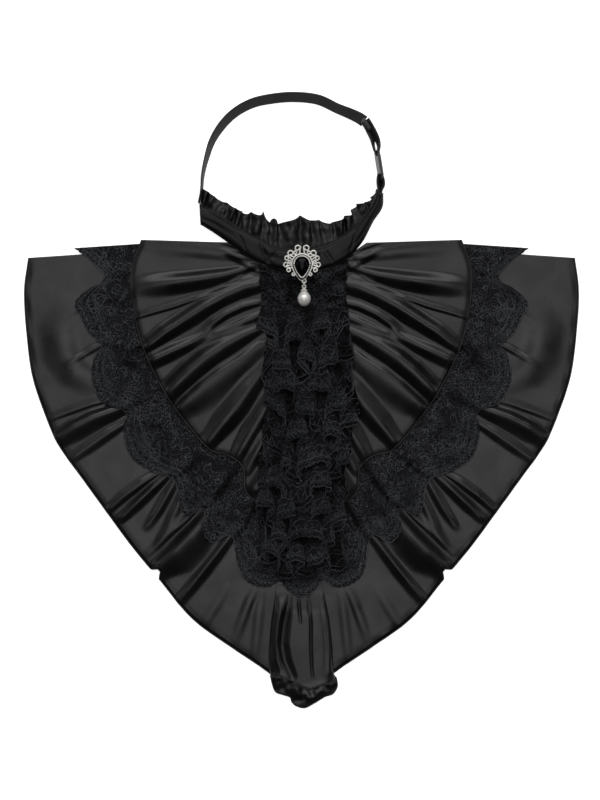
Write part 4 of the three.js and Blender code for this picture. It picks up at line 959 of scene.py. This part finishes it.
def make_fall():
    """The smooth lace at the throat, with slight ripples and scattered motifs."""
    across, down = np.linspace(-1, 1, 170), np.linspace(0, 1, 46)
    top_x = 1.5 + across * FALL_HALF
    lower = read_table(BAND_LOWER, np.linspace(0, 1, 200))
    top_y = np.interp(top_x, lower[:, 0], lower[:, 1]) + 2.4
    x = top_x[:, None] * (1 - 0.06 * down[None])
    y = top_y[:, None] + (67 + 3 * across[:, None] ** 2 - top_y[:, None]) * down[None]
    wander = 4 * uneven(0.5 + 0.5 * across, 17, 3, 0.8, 3.0)[:, None]
    ripple = 1.5 * (1 - np.cos(down[None] * 15 + wander + 3 * slow_waves(x, y, 30, 24)))
    clear = smoothstep(np.hypot(x - CLEAR_X, 0.85 * (y - CLEAR_Y)), 10, CLEAR_REACH)
    small = 0.7 * (1 + slow_waves(x, y, 9, 21)) + 0.4 * slow_waves(x, y, 4.5, 22)
    ripple = ripple * clear + (0.35 + 0.65 * clear) * small
    x = x + 1.6 * slow_waves(y, y, 7, 23) * smoothstep(np.abs(across[:, None]), 0.7, 1)
    inside = (smoothstep(down, 0.0, 0.1) * (1 - smoothstep(down, 0.9, 1)))[None]
    z = ground_height(x, y) + 0.7 + ripple * inside
    top = np.stack([x, y, z], -1)
    # Painted shade: the lace is darkened in the troughs of its ripples.
    depth = 0.35 * (1 - smoothstep(ripple, 0.4, 2.0))
    piece = shell("lace_fall_net", top, LACE_WALL, LACE_FRILL_SHADED, "black_lace", edge_marks(top, depth))
    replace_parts(piece, "lace_fall")
    cords = Cords()
    vines(cords, top, (9, 32), 170, 4.0, 0.22)
    draw = np.random.default_rng(4)
    near = lambda u, w: top[int(84.5 * (u / 33 + 1)), int(45 * w)]
    for k in range(26):
        at = near(draw.uniform(-31, 31), draw.uniform(0.15, 0.92))
        if math.hypot(at[0] - CLEAR_X, at[1] - CLEAR_Y) < CLEAR_REACH:
            continue
        above = at[2] - ground_height(at[0], at[1]) + 0.2
        level = lambda px, py: ground_height(px, py) + above
        turn = draw.uniform(0, 6.28)
        if k % 3 == 0:
            rosette(cords, at[0], at[1], 4.2, turn, level, 5, 0.22)
        elif k % 3 == 1:
            leaf(cords, at[0], at[1], 5.5, turn, level, 0.22)
        else:
            scroll(cords, at[0], at[1], 3.0, turn, draw.choice([-1, 1]), level, 0.22)
    return piece, cords.piece("lace_fall_cords", LACE_CORD, "black_lace")


fall_piece, fall_cords = make_fall()

# Height of each seam on the garment, half width, shift to the right (mm) and phase of the loops.
FRILLS = [(70.5, 32, 2, 0.0), (48.7, 32, 4.5, 1.3), (29.4, 34, 5.5, 2.9), (10.1, 33, 6, 4.2),
          (-9.2, 32.5, 6, 0.7), (-28.5, 33.5, 5.5, 2.1), (-47.8, 34.5, 2, 3.4), (-67.1, 34, 1, 5.0),
          (-86.4, 32, -1, 1.9), (-105.7, 29, 0, 3.8)]
# Pitch of the small loops along a frill, and the highest that a frill may stand (mm).
PICOT, FRILL_HIGHEST = 2.3, 17.5


def picot_cord(cords, top, radius, swing):
    """A fine cord in small loops along the free edge of a lace grid."""
    edge, inward = top[:, -1], top[:, -3] - top[:, -1]
    run = length_along(edge)
    fine = np.linspace(0, run[-1], 2 * len(edge))
    wave = swing * np.sin(2 * math.pi * fine / PICOT + 0.8 * np.sin(fine / 3.1))
    path = points_at(run, edge, fine) + points_at(run, unit(inward), fine) * wave[:, None]
    cords.add(path + [0, 0, 0.1], radius, 4)


def make_frill(k, up, half, shift, phase):
    """One gathered frill: from its seam it rises over the next frill's seam and ends in open loops."""
    name, t = f"lace_frill_{k + 1:02d}", np.linspace(0, 1, 330)
    draw = np.random.default_rng(700 + k)
    count, strength, tilt = draw.uniform(2.2, 3.8), draw.uniform(0.75, 1.15), draw.uniform(-5, 5)
    angle = 2 * math.pi * count * t + phase + 2.4 * uneven(t, 40 + k, 3, 0.6, 2.2)
    tuck = 1 - 0.4 * np.abs(2 * t - 1) ** 4
    full = strength * (1 + 0.7 * uneven(t, 30 + k, 3, 0.8, 3.0))
    x0 = shift + (2 * t - 1) * half
    y0 = up + 8.5 + 2.0 * uneven(t, 20 + k, 3, 0.6, 2.2) + tilt * (2 * t - 1) * 0.6
    z0 = ground_height(x0, y0) + 0.7
    v = np.linspace(0, 1, 18)[None]
    open_ = smoothstep(v, 0.05, 0.9)
    swing = 7.4 * np.cos(angle) * full + 3.0 * uneven(t, 60 + k, 4, 3.0, 9.0) + tilt * (2 * t - 1)
    loop = 4.6 * np.sin(2 * angle + uneven(t, 70 + k, 2, 0.5, 2.0)) * full
    loop = loop + 2.6 * uneven(t, 80 + k, 4, 3.0, 9.0)
    reach = 30.0 if k == 9 else 35.0
    lean = reach * tuck * (1 + 0.12 * uneven(t, 90 + k, 3, 1.0, 4.0))
    crimp = 0.8 * uneven(t, 95 + k, 5, 14.0, 30.0)
    picot = 0.9 * np.abs(np.sin(t * 88))
    x = x0[:, None] * (1 + 0.03 * v) + (loop + 0.8 * uneven(t, 99 + k, 4, 12.0, 26.0))[:, None] * open_
    y = y0[:, None] - (lean[:, None] + picot[:, None] * v ** 6) * v + (swing + crimp)[:, None] * open_
    rise = 5.6 * smoothstep(v, 0.0, 0.85) - 0.8 * smoothstep(v, 0.85, 1.0)
    z = z0[:, None] + tuck[:, None] * (rise + 3.0 * full[:, None] * np.cos(angle)[:, None] * open_)
    z = z + (0.3 * uneven(t, 7 + k, 5, 8.0, 30.0)[:, None] + 0.5 * slow_waves(x, y, 6, 50 + k)) * v
    ground = ground_height(x, y) + 0.8 + 2.0 * smoothstep(v, 0.55, 0.85)
    top = np.stack([x, y, np.minimum(np.maximum(z, ground), FRILL_HIGHEST)], -1)
    # Painted shade: the lace is darkened where it lies low over what is beneath it, away from its seam.
    depth = 0.85 * (1 - smoothstep(z - ground, -1.0, 3.4)) * smoothstep(v, 0.1, 0.4)
    piece = shell(name + "_net", top, LACE_WALL, LACE_FRILL_SHADED, "black_lace", edge_marks(top, depth))
    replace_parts(piece, name)
    cords = Cords()
    picot_cord(cords, top, 0.33, 0.55)
    cords.add(top[:, -3] + [0, 0, 0.2], 0.24, 4)
    petal = top[:, -6] + (top[:, -3] - top[:, -6]) * (0.5 + 0.5 * np.sin(t * 150))[:, None]
    cords.add(petal + [0, 0, 0.2], 0.22, 4)
    vines(cords, top, (10,), 270 + 2 * k, 2.4, 0.22)
    return piece, cords.piece(name + "_cords", LACE_CORD, "black_lace")


frill_pieces = [make_frill(k, *row) for k, row in enumerate(FRILLS)]


# ---------------------------------------------------------------- neck band and its frill
# Long creases of the band: place across it, tilt, width and depth; cross ones: place along it, lean too.
BAND_CREASES = [(0.17, 0.02, 0.06, 0.9), (0.62, -0.12, 0.2, 0.45)]
BAND_GATHERS = [(0.395, 0.07, 0.018, 0.9), (0.43, -0.05, 0.014, 0.8), (0.585, -0.05, 0.018, 0.9),
                (0.64, 0.05, 0.016, 0.6), (0.28, 0.1, 0.02, 0.4), (0.78, -0.08, 0.02, 0.4)]


def make_band():
    """The folded band, soft across, with long creases and a few cross gathers."""
    share, t = np.linspace(0, 1, 170), np.linspace(0, 1, 28)
    rows = read_table(BAND_ROWS, share)
    upper, lower, rest = rows[:, :2], rows[:, 2:4], rows[:, 4]
    plan = upper[:, None] + (lower - upper)[:, None] * t[None, :, None]
    arch = 2.0 * np.clip(1 - np.abs(2 * t - 1) ** 3.2, 0, 1) ** 0.6
    z = rest[:, None] + 1.6 + arch[None] - 0.5 * t[None]
    s = share[:, None]
    for at, tilt, width, deep in BAND_CREASES:
        line = at + tilt * np.sin(s * 7 + at * 9)
        z = z - deep * hump(np.abs(t[None] - line) / width) * (0.6 + 0.4 * np.sin(s * 17 + at * 30))
    for at, lean, width, deep in BAND_GATHERS:
        z = z - deep * hump(np.abs(s - at - lean * (t[None] - 0.5)) / width) * np.sin(np.pi * t)[None]
    top = with_height(plan, z)
    piece = shell("neck_band_satin", top, BAND_WALL, SATIN_BAND, "black_satin")
    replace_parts(piece, "neck_band")
    cords = Cords()
    for j in (0, -1):
        cords.add(top[:, j] - [0, 0, 0.4], 0.6, 6)
    return piece, cords.piece("neck_band_edges", SATIN_BAND, "black_satin")


band_piece, band_edges = make_band()
NECK_FRILL_EDGE = [(0.0, -75.3, 161.6), (0.12, -62.0, 153.0), (0.25, -46.0, 144.5), (0.28, -43, 142.4),
                   (0.31, -38, 143.4), (0.345, -33, 142.0), (0.37, -28.5, 143.6), (0.39, -26.5, 137.5),
                   (0.41, -23.5, 135.0), (0.43, -20.5, 139.0), (0.455, -18.5, 134.5), (0.49, -10, 137.0),
                   (0.53, -1.0, 140.8), (0.575, 6.5, 137.0), (0.62, 13.0, 137.8), (0.67, 22, 135.5),
                   (0.72, 31.0, 138.5), (0.77, 37.5, 142.5), (0.82, 41.0, 148.5), (0.9, 50.0, 151.5),
                   (1.0, 57.0, 160.0)]


def make_neck_frill():
    """The frill that stands behind the band's upper edge, crumpled along its free edge."""
    share, v = np.linspace(0, 1, 420), np.linspace(0, 1, 18)
    band = read_table(BAND_ROWS, share)
    upper, lower = band[:, :2], band[:, 2:4]
    reach = np.linalg.norm(upper - lower, axis=1)[:, None]
    root = upper + (lower - upper) * 2.0 / reach
    edge = read_table(NECK_FRILL_EDGE, share)
    out = edge - root
    width = np.linalg.norm(out, axis=1)[:, None]
    side = np.stack([-out[:, 1], out[:, 0]], 1) / width
    angle = 2 * math.pi * 19 * share + 3.2 * uneven(share, 5, 4, 1.5, 6.0)
    swing = 1.2 * np.sin(angle + 0.9) + 0.8 * uneven(share, 6, 4, 3.0, 9.0)
    curl = 0.5 * np.cos(angle) + 0.9 * uneven(share, 8, 4, 4.0, 10.0)
    plan = root[:, None] + out[:, None] * v[None, :, None]
    plan = plan + side[:, None] * (swing[:, None] * v[None] ** 1.4)[..., None]
    plan = plan + (out / width)[:, None] * (curl[:, None] * v[None] ** 2)[..., None]
    wave = 0.5 * (1 - np.cos(angle + 1.5 * uneven(share, 12, 3, 2.0, 5.0)))
    wave = wave * (0.6 + 0.7 * uneven(share, 13, 3, 3.0, 8.0))
    base = band[:, 4] - 1.0
    rise = np.sin(np.minimum(v[None] * 2.2 + 0.25, 1.57))
    z = base[:, None] * (1 - v[None]) + 1.2 * v[None] + (4.6 * wave)[:, None] * rise
    z = z + 0.3 * uneven(share, 9, 5, 10, 40)[:, None] * v[None]
    z = z + 1.3 * slow_waves(plan[..., 0], plan[..., 1], 8, 33) * v[None] ** 0.5
    z = np.maximum(z, 0.5)
    top = with_height(plan, np.minimum(z, base[:, None] + 0.2 + 8 * v[None]))
    piece = shell("neck_frill_satin", top, FRILL_WALL, SATIN_FRILL, "black_satin")
    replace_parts(piece, "neck_frill")
    return piece, rolled_hem("neck_frill_hem", top, 0.1, 0.4)


neck_frill_piece, neck_frill_hem = make_neck_frill()

# ---------------------------------------------------------------- strap and its fittings
STRAP_ROUTE = [(-76.0, 163.5, 82), (-75.4, 171.5, 79), (-73.0, 183.0, 73), (-68.2, 198.0, 63),
               (-60.3, 210.5, 53), (-50.3, 220.2, 48), (-37.2, 227.2, 44), (-21.8, 230.6, 41),
               (-5.0, 231.8, 40), (12.5, 229.8, 40), (27.5, 223.0, 42), (37.5, 218.4, 54),
               (45.5, 215.3, 84)]


STRAP_START = [(-78.4, 150.5, 86), (-76.8, 157.5, 84)]
STRAP_END = [(36.5, 219.4, 34), (43.5, 216.2, 26), (48.0, 213.2, 24)]
STRAP_HALF = 4.5
LOOP_WIDE, LOOP_THICK = 8.6, 0.9
# Loops of ribbon: picture x and y, lean in degrees and the height of their middle in mm.
LOOPS = {
    "strap_loop_outer": [(366, 119, 56, 6), (371, 127, 58, 6), (376.5, 136.5, 68, 6), (379, 144, 78, 6),
                         (378.5, 150, 82, 6), (377, 155, 86, 6)],
    "strap_loop_inner": [(366, 121, 120, 5.4), (369, 129, 120, 5.4), (372.3, 137.5, 112, 6),
                         (373.5, 144, 102, 6), (375, 150, 98, 6), (377, 155, 94, 6)],
    "band_loop_outer": [(380.5, 172, 80, 6), (382.3, 178, 74, 6), (383, 184, 74, 6), (381.5, 189, 80, 6),
                        (380, 194, 84, 6)],
    "band_loop_inner": [(379.3, 173, 100, 6), (378.8, 179, 106, 6), (379, 185, 106, 6),
                        (379.5, 190, 98, 6), (380, 194, 96, 6)],
}


def lay_ribbon(name, line, high, across_mm, wall):
    """A flat ribbon along rows of x, y and lean in degrees, its middle at the heights given."""
    run = unit(np.gradient(line[:, :2], axis=0))
    lean = np.radians(line[:, 2])
    across = np.stack([-run[:, 1] * np.cos(lean), run[:, 0] * np.cos(lean), np.sin(lean)], 1)
    face = np.stack([run[:, 1] * np.sin(lean), -run[:, 0] * np.sin(lean), np.cos(lean)], 1)
    centre = np.concatenate([line[:, :2], high[:, None]], 1)
    flat = centre[:, None] + across[:, None] * across_mm[None, :, None]
    wall = face[:, None] * wall[None, :, None]
    return shell(name, flat + wall, flat - wall, RIBBON, "black_ribbon")


def make_strap():
    """The neck strap, from the band's left end round to the slider."""
    route = STRAP_START + STRAP_ROUTE[:-2] + STRAP_END
    rows = [(i / (len(route) - 1), *row) for i, row in enumerate(route)]
    w = np.linspace(-1, 1, 9)
    line = read_table(rows, np.linspace(0, 1, 200))
    lean = np.radians(line[:, 2])
    high = STRAP_HALF * np.sin(lean) + 0.5 * np.cos(lean)
    piece = lay_ribbon("neck_strap_ribbon", line, high, w * STRAP_HALF, 0.32 + 0.1 * (np.abs(w) > 0.8))
    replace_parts(piece, "neck_strap")
    return piece


def make_loop(name, rows):
    """One side of a ribbon loop, from a row of LOOPS."""
    rows = np.array(rows, float)
    x, y = place(rows[:, 0], rows[:, 1])
    table = np.stack([np.linspace(0, 1, len(rows)), x, y, rows[:, 2], rows[:, 3]], 1)
    line, w = read_table(table, np.linspace(0, 1, 60)), np.linspace(-1, 1, 7)
    wall = LOOP_THICK / 2 * (1 + 0.3 * (np.abs(w) > 0.8))
    return lay_ribbon(name, line, line[:, 3], w * LOOP_WIDE / 2, wall)


strap_piece = make_strap()


def standing_axes(towards, tilt):
    """Along, up and out of a part that stands on its edge, from its direction and lean in degrees."""
    towards, tilt = math.radians(towards), math.radians(tilt)
    along = np.array([math.cos(towards), math.sin(towards), 0])
    side, up = np.array([-along[1], along[0], 0]), np.array([0, 0, 1])
    return (along, side * math.sin(tilt) + up * math.cos(tilt), side * math.cos(tilt) - up * math.sin(tilt))


def make_slider():
    """A moulded frame on its edge with two windows: a rounded outer bar and a cross bar."""
    middle, (along, up, _) = np.array([49.0, 210.0, 6.0]), standing_axes(-58, 10)
    half, high = 5.3, 5.4
    at = lambda u, w: middle + along * u + up * w
    loop = []
    for sx, sz, turn in ((1, 1, 0), (-1, 1, 1), (-1, -1, 2), (1, -1, 3)):
        for c in np.linspace(0, math.pi / 2, 6) + turn * math.pi / 2:
            loop.append(at(sx * (half - 2.4) + 1.4 * math.cos(c), sz * (high - 2.2) + 1.4 * math.sin(c)))
    bars = Cords()
    bars.add(loop, 1.15, 10, True)
    bars.add([at(0, w) for w in np.linspace(-high + 1, high - 1, 6)], 1.0, 10)
    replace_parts(bars.piece("strap_slider_frame", PLASTIC, "black_plastic"), "strap_slider")


def make_hook():
    """A flat grey clip bar, rounded at its ends, leaning a little so that its side shows."""
    middle, (along, up, out) = np.array([59.2, 179.2, 6.0]), standing_axes(-81, 16)
    sides = 20
    a = np.linspace(0, 2 * math.pi, sides, endpoint=False)
    square = (np.abs(np.cos(a)) ** 4 + np.abs(np.sin(a)) ** 4) ** -0.25
    rings = []
    for u in np.linspace(-1, 1, 41):
        end = math.sqrt(max(0.0, 1 - abs(u) ** 10))
        waist = sum(math.exp(-((u - at) / 0.06) ** 2) for at in (0.72, -0.72))
        high, thick = 5.4 * max(end, 0.3) * (1 - 0.12 * waist), 1.25 * max(end, 0.4)
        ring = np.outer(np.cos(a) * square * thick, out) + np.outer(np.sin(a) * square * high, up)
        rings.append(middle + along * u * 11.9 + ring)
    last = (len(rings) - 1) * sides
    faces = ring_faces(len(rings), sides).tolist()
    faces += [list(range(sides))[::-1], list(range(last, last + sides))]
    piece = mesh_from("strap_hook_clip", np.concatenate(rings), faces, CLIP, "black_plastic")
    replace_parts(piece, "strap_hook")


make_slider()
make_hook()
loops = {name: make_loop(name, rows) for name, rows in LOOPS.items()}
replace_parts(loops["strap_loop_outer"], "strap_loop")
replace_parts(loops["band_loop_outer"], "band_loop")

# ---------------------------------------------------------------- brooch and drop
BROOCH = np.array([0.4, 104.0, 10.6])
# Line on which the drop hangs, and the middle of the brooch's eye.
DROP_X, DROP_Z, EYE_Y = 2.0, 10.6, 90.9
# Curls on either side: direction in degrees from the top, reach and radius in mm, and which way they wind.
CURLS = [(16, 12.4, 2.3, 1), (46, 11.8, 2.3, -1), (70, 12.2, 1.8, 1), (92, 12.2, 1.9, -1),
         (115, 11.0, 1.7, 1), (140, 10.2, 1.2, -1), (31, 9.9, 1.4, -1), (81, 9.6, 1.2, -1)]


def teardrop(margin, steps=72):
    """The stone's outline, widened by a margin."""
    a = np.linspace(0, 2 * math.pi, steps, endpoint=False)
    down = np.maximum(0, -np.cos(a))
    tall = np.where(np.cos(a) > 0, 5.2 + margin, 9.6 + margin * 1.25)
    return np.stack([-(5.4 + margin) * np.sin(a) * (1 - 0.42 * down ** 1.6), tall * np.cos(a), 0 * a], 1)


def ball(at, radius, rings=8, sides=12, flat=1):
    """Points and quads of a small ball, which may be flattened."""
    polar = np.linspace(0, math.pi, rings + 1)[:, None]
    turn = np.linspace(0, 2 * math.pi, sides, endpoint=False)[None]
    shape = [np.sin(polar) * np.cos(turn), np.sin(polar) * np.sin(turn), flat * np.cos(polar) + 0 * turn]
    verts = np.array(at) + radius * np.stack(shape, -1).reshape(-1, 3)
    return verts, np.roll(ring_faces(rings + 1, sides)[:, ::-1], 1, axis=1)


def drop_circle(y, radius, steps):
    """A flat circle round a point of the drop's line."""
    a = np.linspace(0, 2 * math.pi, steps, endpoint=False)
    return np.stack([DROP_X + radius * np.cos(a), y + radius * np.sin(a), DROP_Z + 0 * a], 1)


def make_brooch():
    """Curled wires with beads, a raised rim, a rope of beads round the stone, and the eye for the drop."""
    wires, beads = Cords(), Cords()
    bead = lambda at, radius, flat=1: beads.join(*ball(at, radius, 6, 10, flat))
    for turn, reach, radius, wind in CURLS:
        for side in (-1, 1):
            a = math.radians(turn)
            outward = np.array([-side * math.sin(a), math.cos(a), 0])
            across = np.array([-outward[1], outward[0], 0]) * side * wind
            centre = outward * reach
            k = np.linspace(0, 1, 34)
            sweep, r = k * math.radians(330), radius * (1 - 0.45 * k)
            spiral = centre + across * (-r * np.cos(sweep))[:, None] + outward * (r * np.sin(sweep))[:, None]
            stem = np.linspace(outward * min(0.72 * reach, 7.3), spiral[0], 6, endpoint=False)
            path = np.concatenate([stem, spiral])
            thick = np.interp(np.arange(len(path)), [0, 6, len(path) - 1], [0.52, 0.56, 0.46])
            path[:, 2] += 0.35 * np.sin(np.linspace(0, math.pi, len(path)))
            wires.add(path + BROOCH, thick, 8, squash=0.5)
            bead(spiral[-1] + BROOCH + [0, 0, 0.2], 0.55, 0.6)
    rim = teardrop(2.35)
    rim[:, 2] = 0.9 - 2.1 * smoothstep(-rim[:, 1], 8.5, 11)
    wires.add(rim + BROOCH, 0.62 - 0.17 * smoothstep(-rim[:, 1], 5, 10), 8, True, 0.5)
    for at in teardrop(0.7, 44):
        bead(at + BROOCH + [0, 0, 2.0], 0.56, 0.6)
    wires.add(drop_circle(EYE_Y, 1.5, 28), 0.45, 8, True)
    bead((DROP_X, EYE_Y + 2, DROP_Z + 0.3), 0.9)
    piece = wires.piece("brooch_wires", SILVER, "aged_silver")
    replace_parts(piece, "brooch_filigree", "brooch_bezel")
    beads.piece("brooch_beads", SILVER, "aged_silver")
    profile = [(2.2, -0.3), (1.9, 1.5), (0.8, 1.9), (0.3, 1.2), (0.3, -0.6), (2.2, -0.6)]
    rings = [teardrop(margin) + BROOCH + [0, 0, z] for margin, z in profile]
    faces = ring_faces(len(rings), len(rings[0]), True)[:, ::-1]
    mesh_from("brooch_setting", np.concatenate(rings), faces, SILVER_DARK, "aged_silver")


def make_stone():
    """A small table and three rings of crown facets."""
    sides = 16
    turned = lambda margin: 0.5 * (teardrop(margin, sides) + np.roll(teardrop(margin, sides), -1, 0))
    levels = [teardrop(-0.1, sides) + [0, 0, -0.2], teardrop(-0.1, sides) + [0, 0, 0.4],
              turned(-1.0) + [0, 0, 1.3], teardrop(-2.4, sides) + [0, 0, 1.9], turned(-3.9) + [0, 0, 2.3]]
    verts = np.concatenate(levels)
    faces = [tuple(range(sides))[::-1], tuple(range(4 * sides, 5 * sides))]
    for k in range(sides):
        m = (k + 1) % sides
        faces.append((k, m, sides + m, sides + k))
        for level in (1, 2, 3):
            a, b = level * sides, (level + 1) * sides
            if level == 2:
                faces += [(a + k, a + m, b + m), (a + k, b + m, b + k)]
            else:
                faces += [(a + k, a + m, b + k), (a + m, b + m, b + k)]
    piece = mesh_from("brooch_stone_faceted", verts + BROOCH, faces, STONE, "black_stone", smooth=False)
    fix = bmesh.new()
    fix.from_mesh(piece.data)
    bmesh.ops.recalc_face_normals(fix, faces=fix.faces)
    fix.to_mesh(piece.data)
    fix.free()
    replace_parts(piece, "brooch_stone")


make_brooch()
make_stone()
# The ring hangs in the brooch's eye and the cap's eye in the ring, each with a little play.
LINK_RADIUS, LINK_WIRE = 1.85, 0.4
LINK_Y = EYE_Y - 1.5 + 0.45 + LINK_WIRE + 0.38 - LINK_RADIUS
CAP_EYE_Y = LINK_Y - LINK_RADIUS + LINK_WIRE + 0.4 + 0.38 - 1.3
CAP_TOP = CAP_EYE_Y - 1.3 + 0.16
# Radius and height of the cap's outline, from its top (mm).
CAP_OUTLINE = [(0, 0), (0.55, 0.02), (0.95, -0.12), (1.5, -0.75), (2.05, -1.35), (2.3, -1.9), (2.0, -1.9),
               (1.3, -1.0), (0, -0.8)]


def lathe(profile, top, sides):
    """Points and quads of a turned shape about the drop's line."""
    a = np.linspace(0, 2 * math.pi, sides, endpoint=False)
    rings = [np.stack([DROP_X + r * np.cos(a), np.full(sides, top + y), DROP_Z + r * np.sin(a)], 1)
             for r, y in profile]
    return np.concatenate(rings), ring_faces(len(rings), sides)


def make_drop():
    """The ring, the cap with its eye and beads, and the pearl."""
    a = np.linspace(0, 2 * math.pi, 40, endpoint=False)
    rings = []
    for b in np.linspace(0, 2 * math.pi, 10, endpoint=False):
        r, x = LINK_RADIUS + LINK_WIRE * math.cos(b), DROP_X + LINK_WIRE * math.sin(b)
        rings.append(np.stack([x + 0 * a, LINK_Y + r * np.cos(a), DROP_Z + r * np.sin(a)], 1))
    faces = ring_faces(len(rings), len(a), True)
    piece = mesh_from("drop_ring", np.concatenate(rings), faces, SILVER, "aged_silver", "link")
    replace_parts(piece, "drop_link")
    cap = Cords()
    cap.add(drop_circle(CAP_EYE_Y, 1.3, 40), 0.4, 8, True)
    cap.join(*lathe(CAP_OUTLINE, CAP_TOP, 28))
    for b in np.linspace(0, 2 * math.pi, 12, endpoint=False):
        cap.join(*ball((DROP_X + 2.25 * math.cos(b), CAP_TOP - 1.9, DROP_Z + 2.25 * math.sin(b)), 0.42, 5, 8))
    piece = cap.piece("drop_cap_beaded", SILVER, "aged_silver", "drop")
    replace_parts(piece, "drop_cap")
    polar = np.linspace(0, math.pi, 40)
    taper = 1 - 0.3 * np.maximum(0, np.cos(polar)) ** 1.5
    profile = list(zip(5.2 * np.sin(polar) * taper, 6.2 * np.cos(polar) - 6.2 - 1.7))
    piece = mesh_from("drop_pearl_smooth", *lathe(profile, CAP_TOP, 56), PEARL, "pearl", "drop")
    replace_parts(piece, "drop_pearl")


make_drop()


# ---------------------------------------------------------------- floor
def make_floor():
    """The pale surface under the garment."""
    bpy.ops.mesh.primitive_plane_add(size=8, location=(0, 0, -0.0001))
    floor = bpy.context.object
    floor.name = "floor"
    material, n, bsdf = new_material("floor_pale")
    n.feed(bsdf, "Base Color", n.mix(n.noise(n.place(), 3.0, 2.0), grey(0.93), grey(0.96)))
    set_sockets(bsdf, Roughness=0.9, Specular_IOR_Level=0.1, Emission_Color=(1, 1, 1, 1),
                Emission_Strength=0.8)
    floor.data.materials.append(material)


make_floor()


# ---------------------------------------------------------------- widths of the cloth cuts, worked out only
def cloth_area(piece):
    """Half the surface of a thin closed shell, in square metres."""
    return sum(p.area for p in piece.data.polygons) / 2


# The cut's area over that of its rectangle, the least side of a cut, and the frills' depths (m).
CUT_SHARE, NARROWEST = 0.92, 0.0101
FRILL_DEPTH, NECK_FRILL_DEPTH = 0.037, 0.016


def declare(piece, wide=None, deep=None, fullness=1.0):
    """Work out how wide a piece's cut is, from the width or depth given (m) and its area; the result is not
    kept.

    Fullness is the cloth of the cut over the cloth of the mesh, which leaves out the smallest gathers.
    """
    area = cloth_area(piece) * fullness
    if deep:
        wide = area / (deep * CUT_SHARE)
    if wide is None:
        points = [v.co for v in piece.data.vertices]
        wide = max(max(p[k] for p in points) - min(p[k] for p in points) for k in (0, 1))


edging_runs, band_runs = runs["lace_edging_net"], runs["neck_band_satin"]
declare(bottom_piece,
        wide=runs["bottom_tier_satin"][-1], fullness=1.25)
declare(lace_piece, wide=edging_runs[len(edging_runs) // 2])
declare(upper_piece,
        wide=runs["upper_tier_satin"][-1], fullness=1.25)
declare(pleat_piece)
declare(fall_piece)
for frill, frill_cords in frill_pieces:
    declare(frill, deep=FRILL_DEPTH, fullness=1.3)
declare(band_piece, wide=band_runs[len(band_runs) // 2])
declare(neck_frill_piece, deep=NECK_FRILL_DEPTH, fullness=1.3)
declare(strap_piece, wide=runs["neck_strap_ribbon"][3])
for part in ("strap", "band"):
    declare(loops[part + "_loop_outer"])
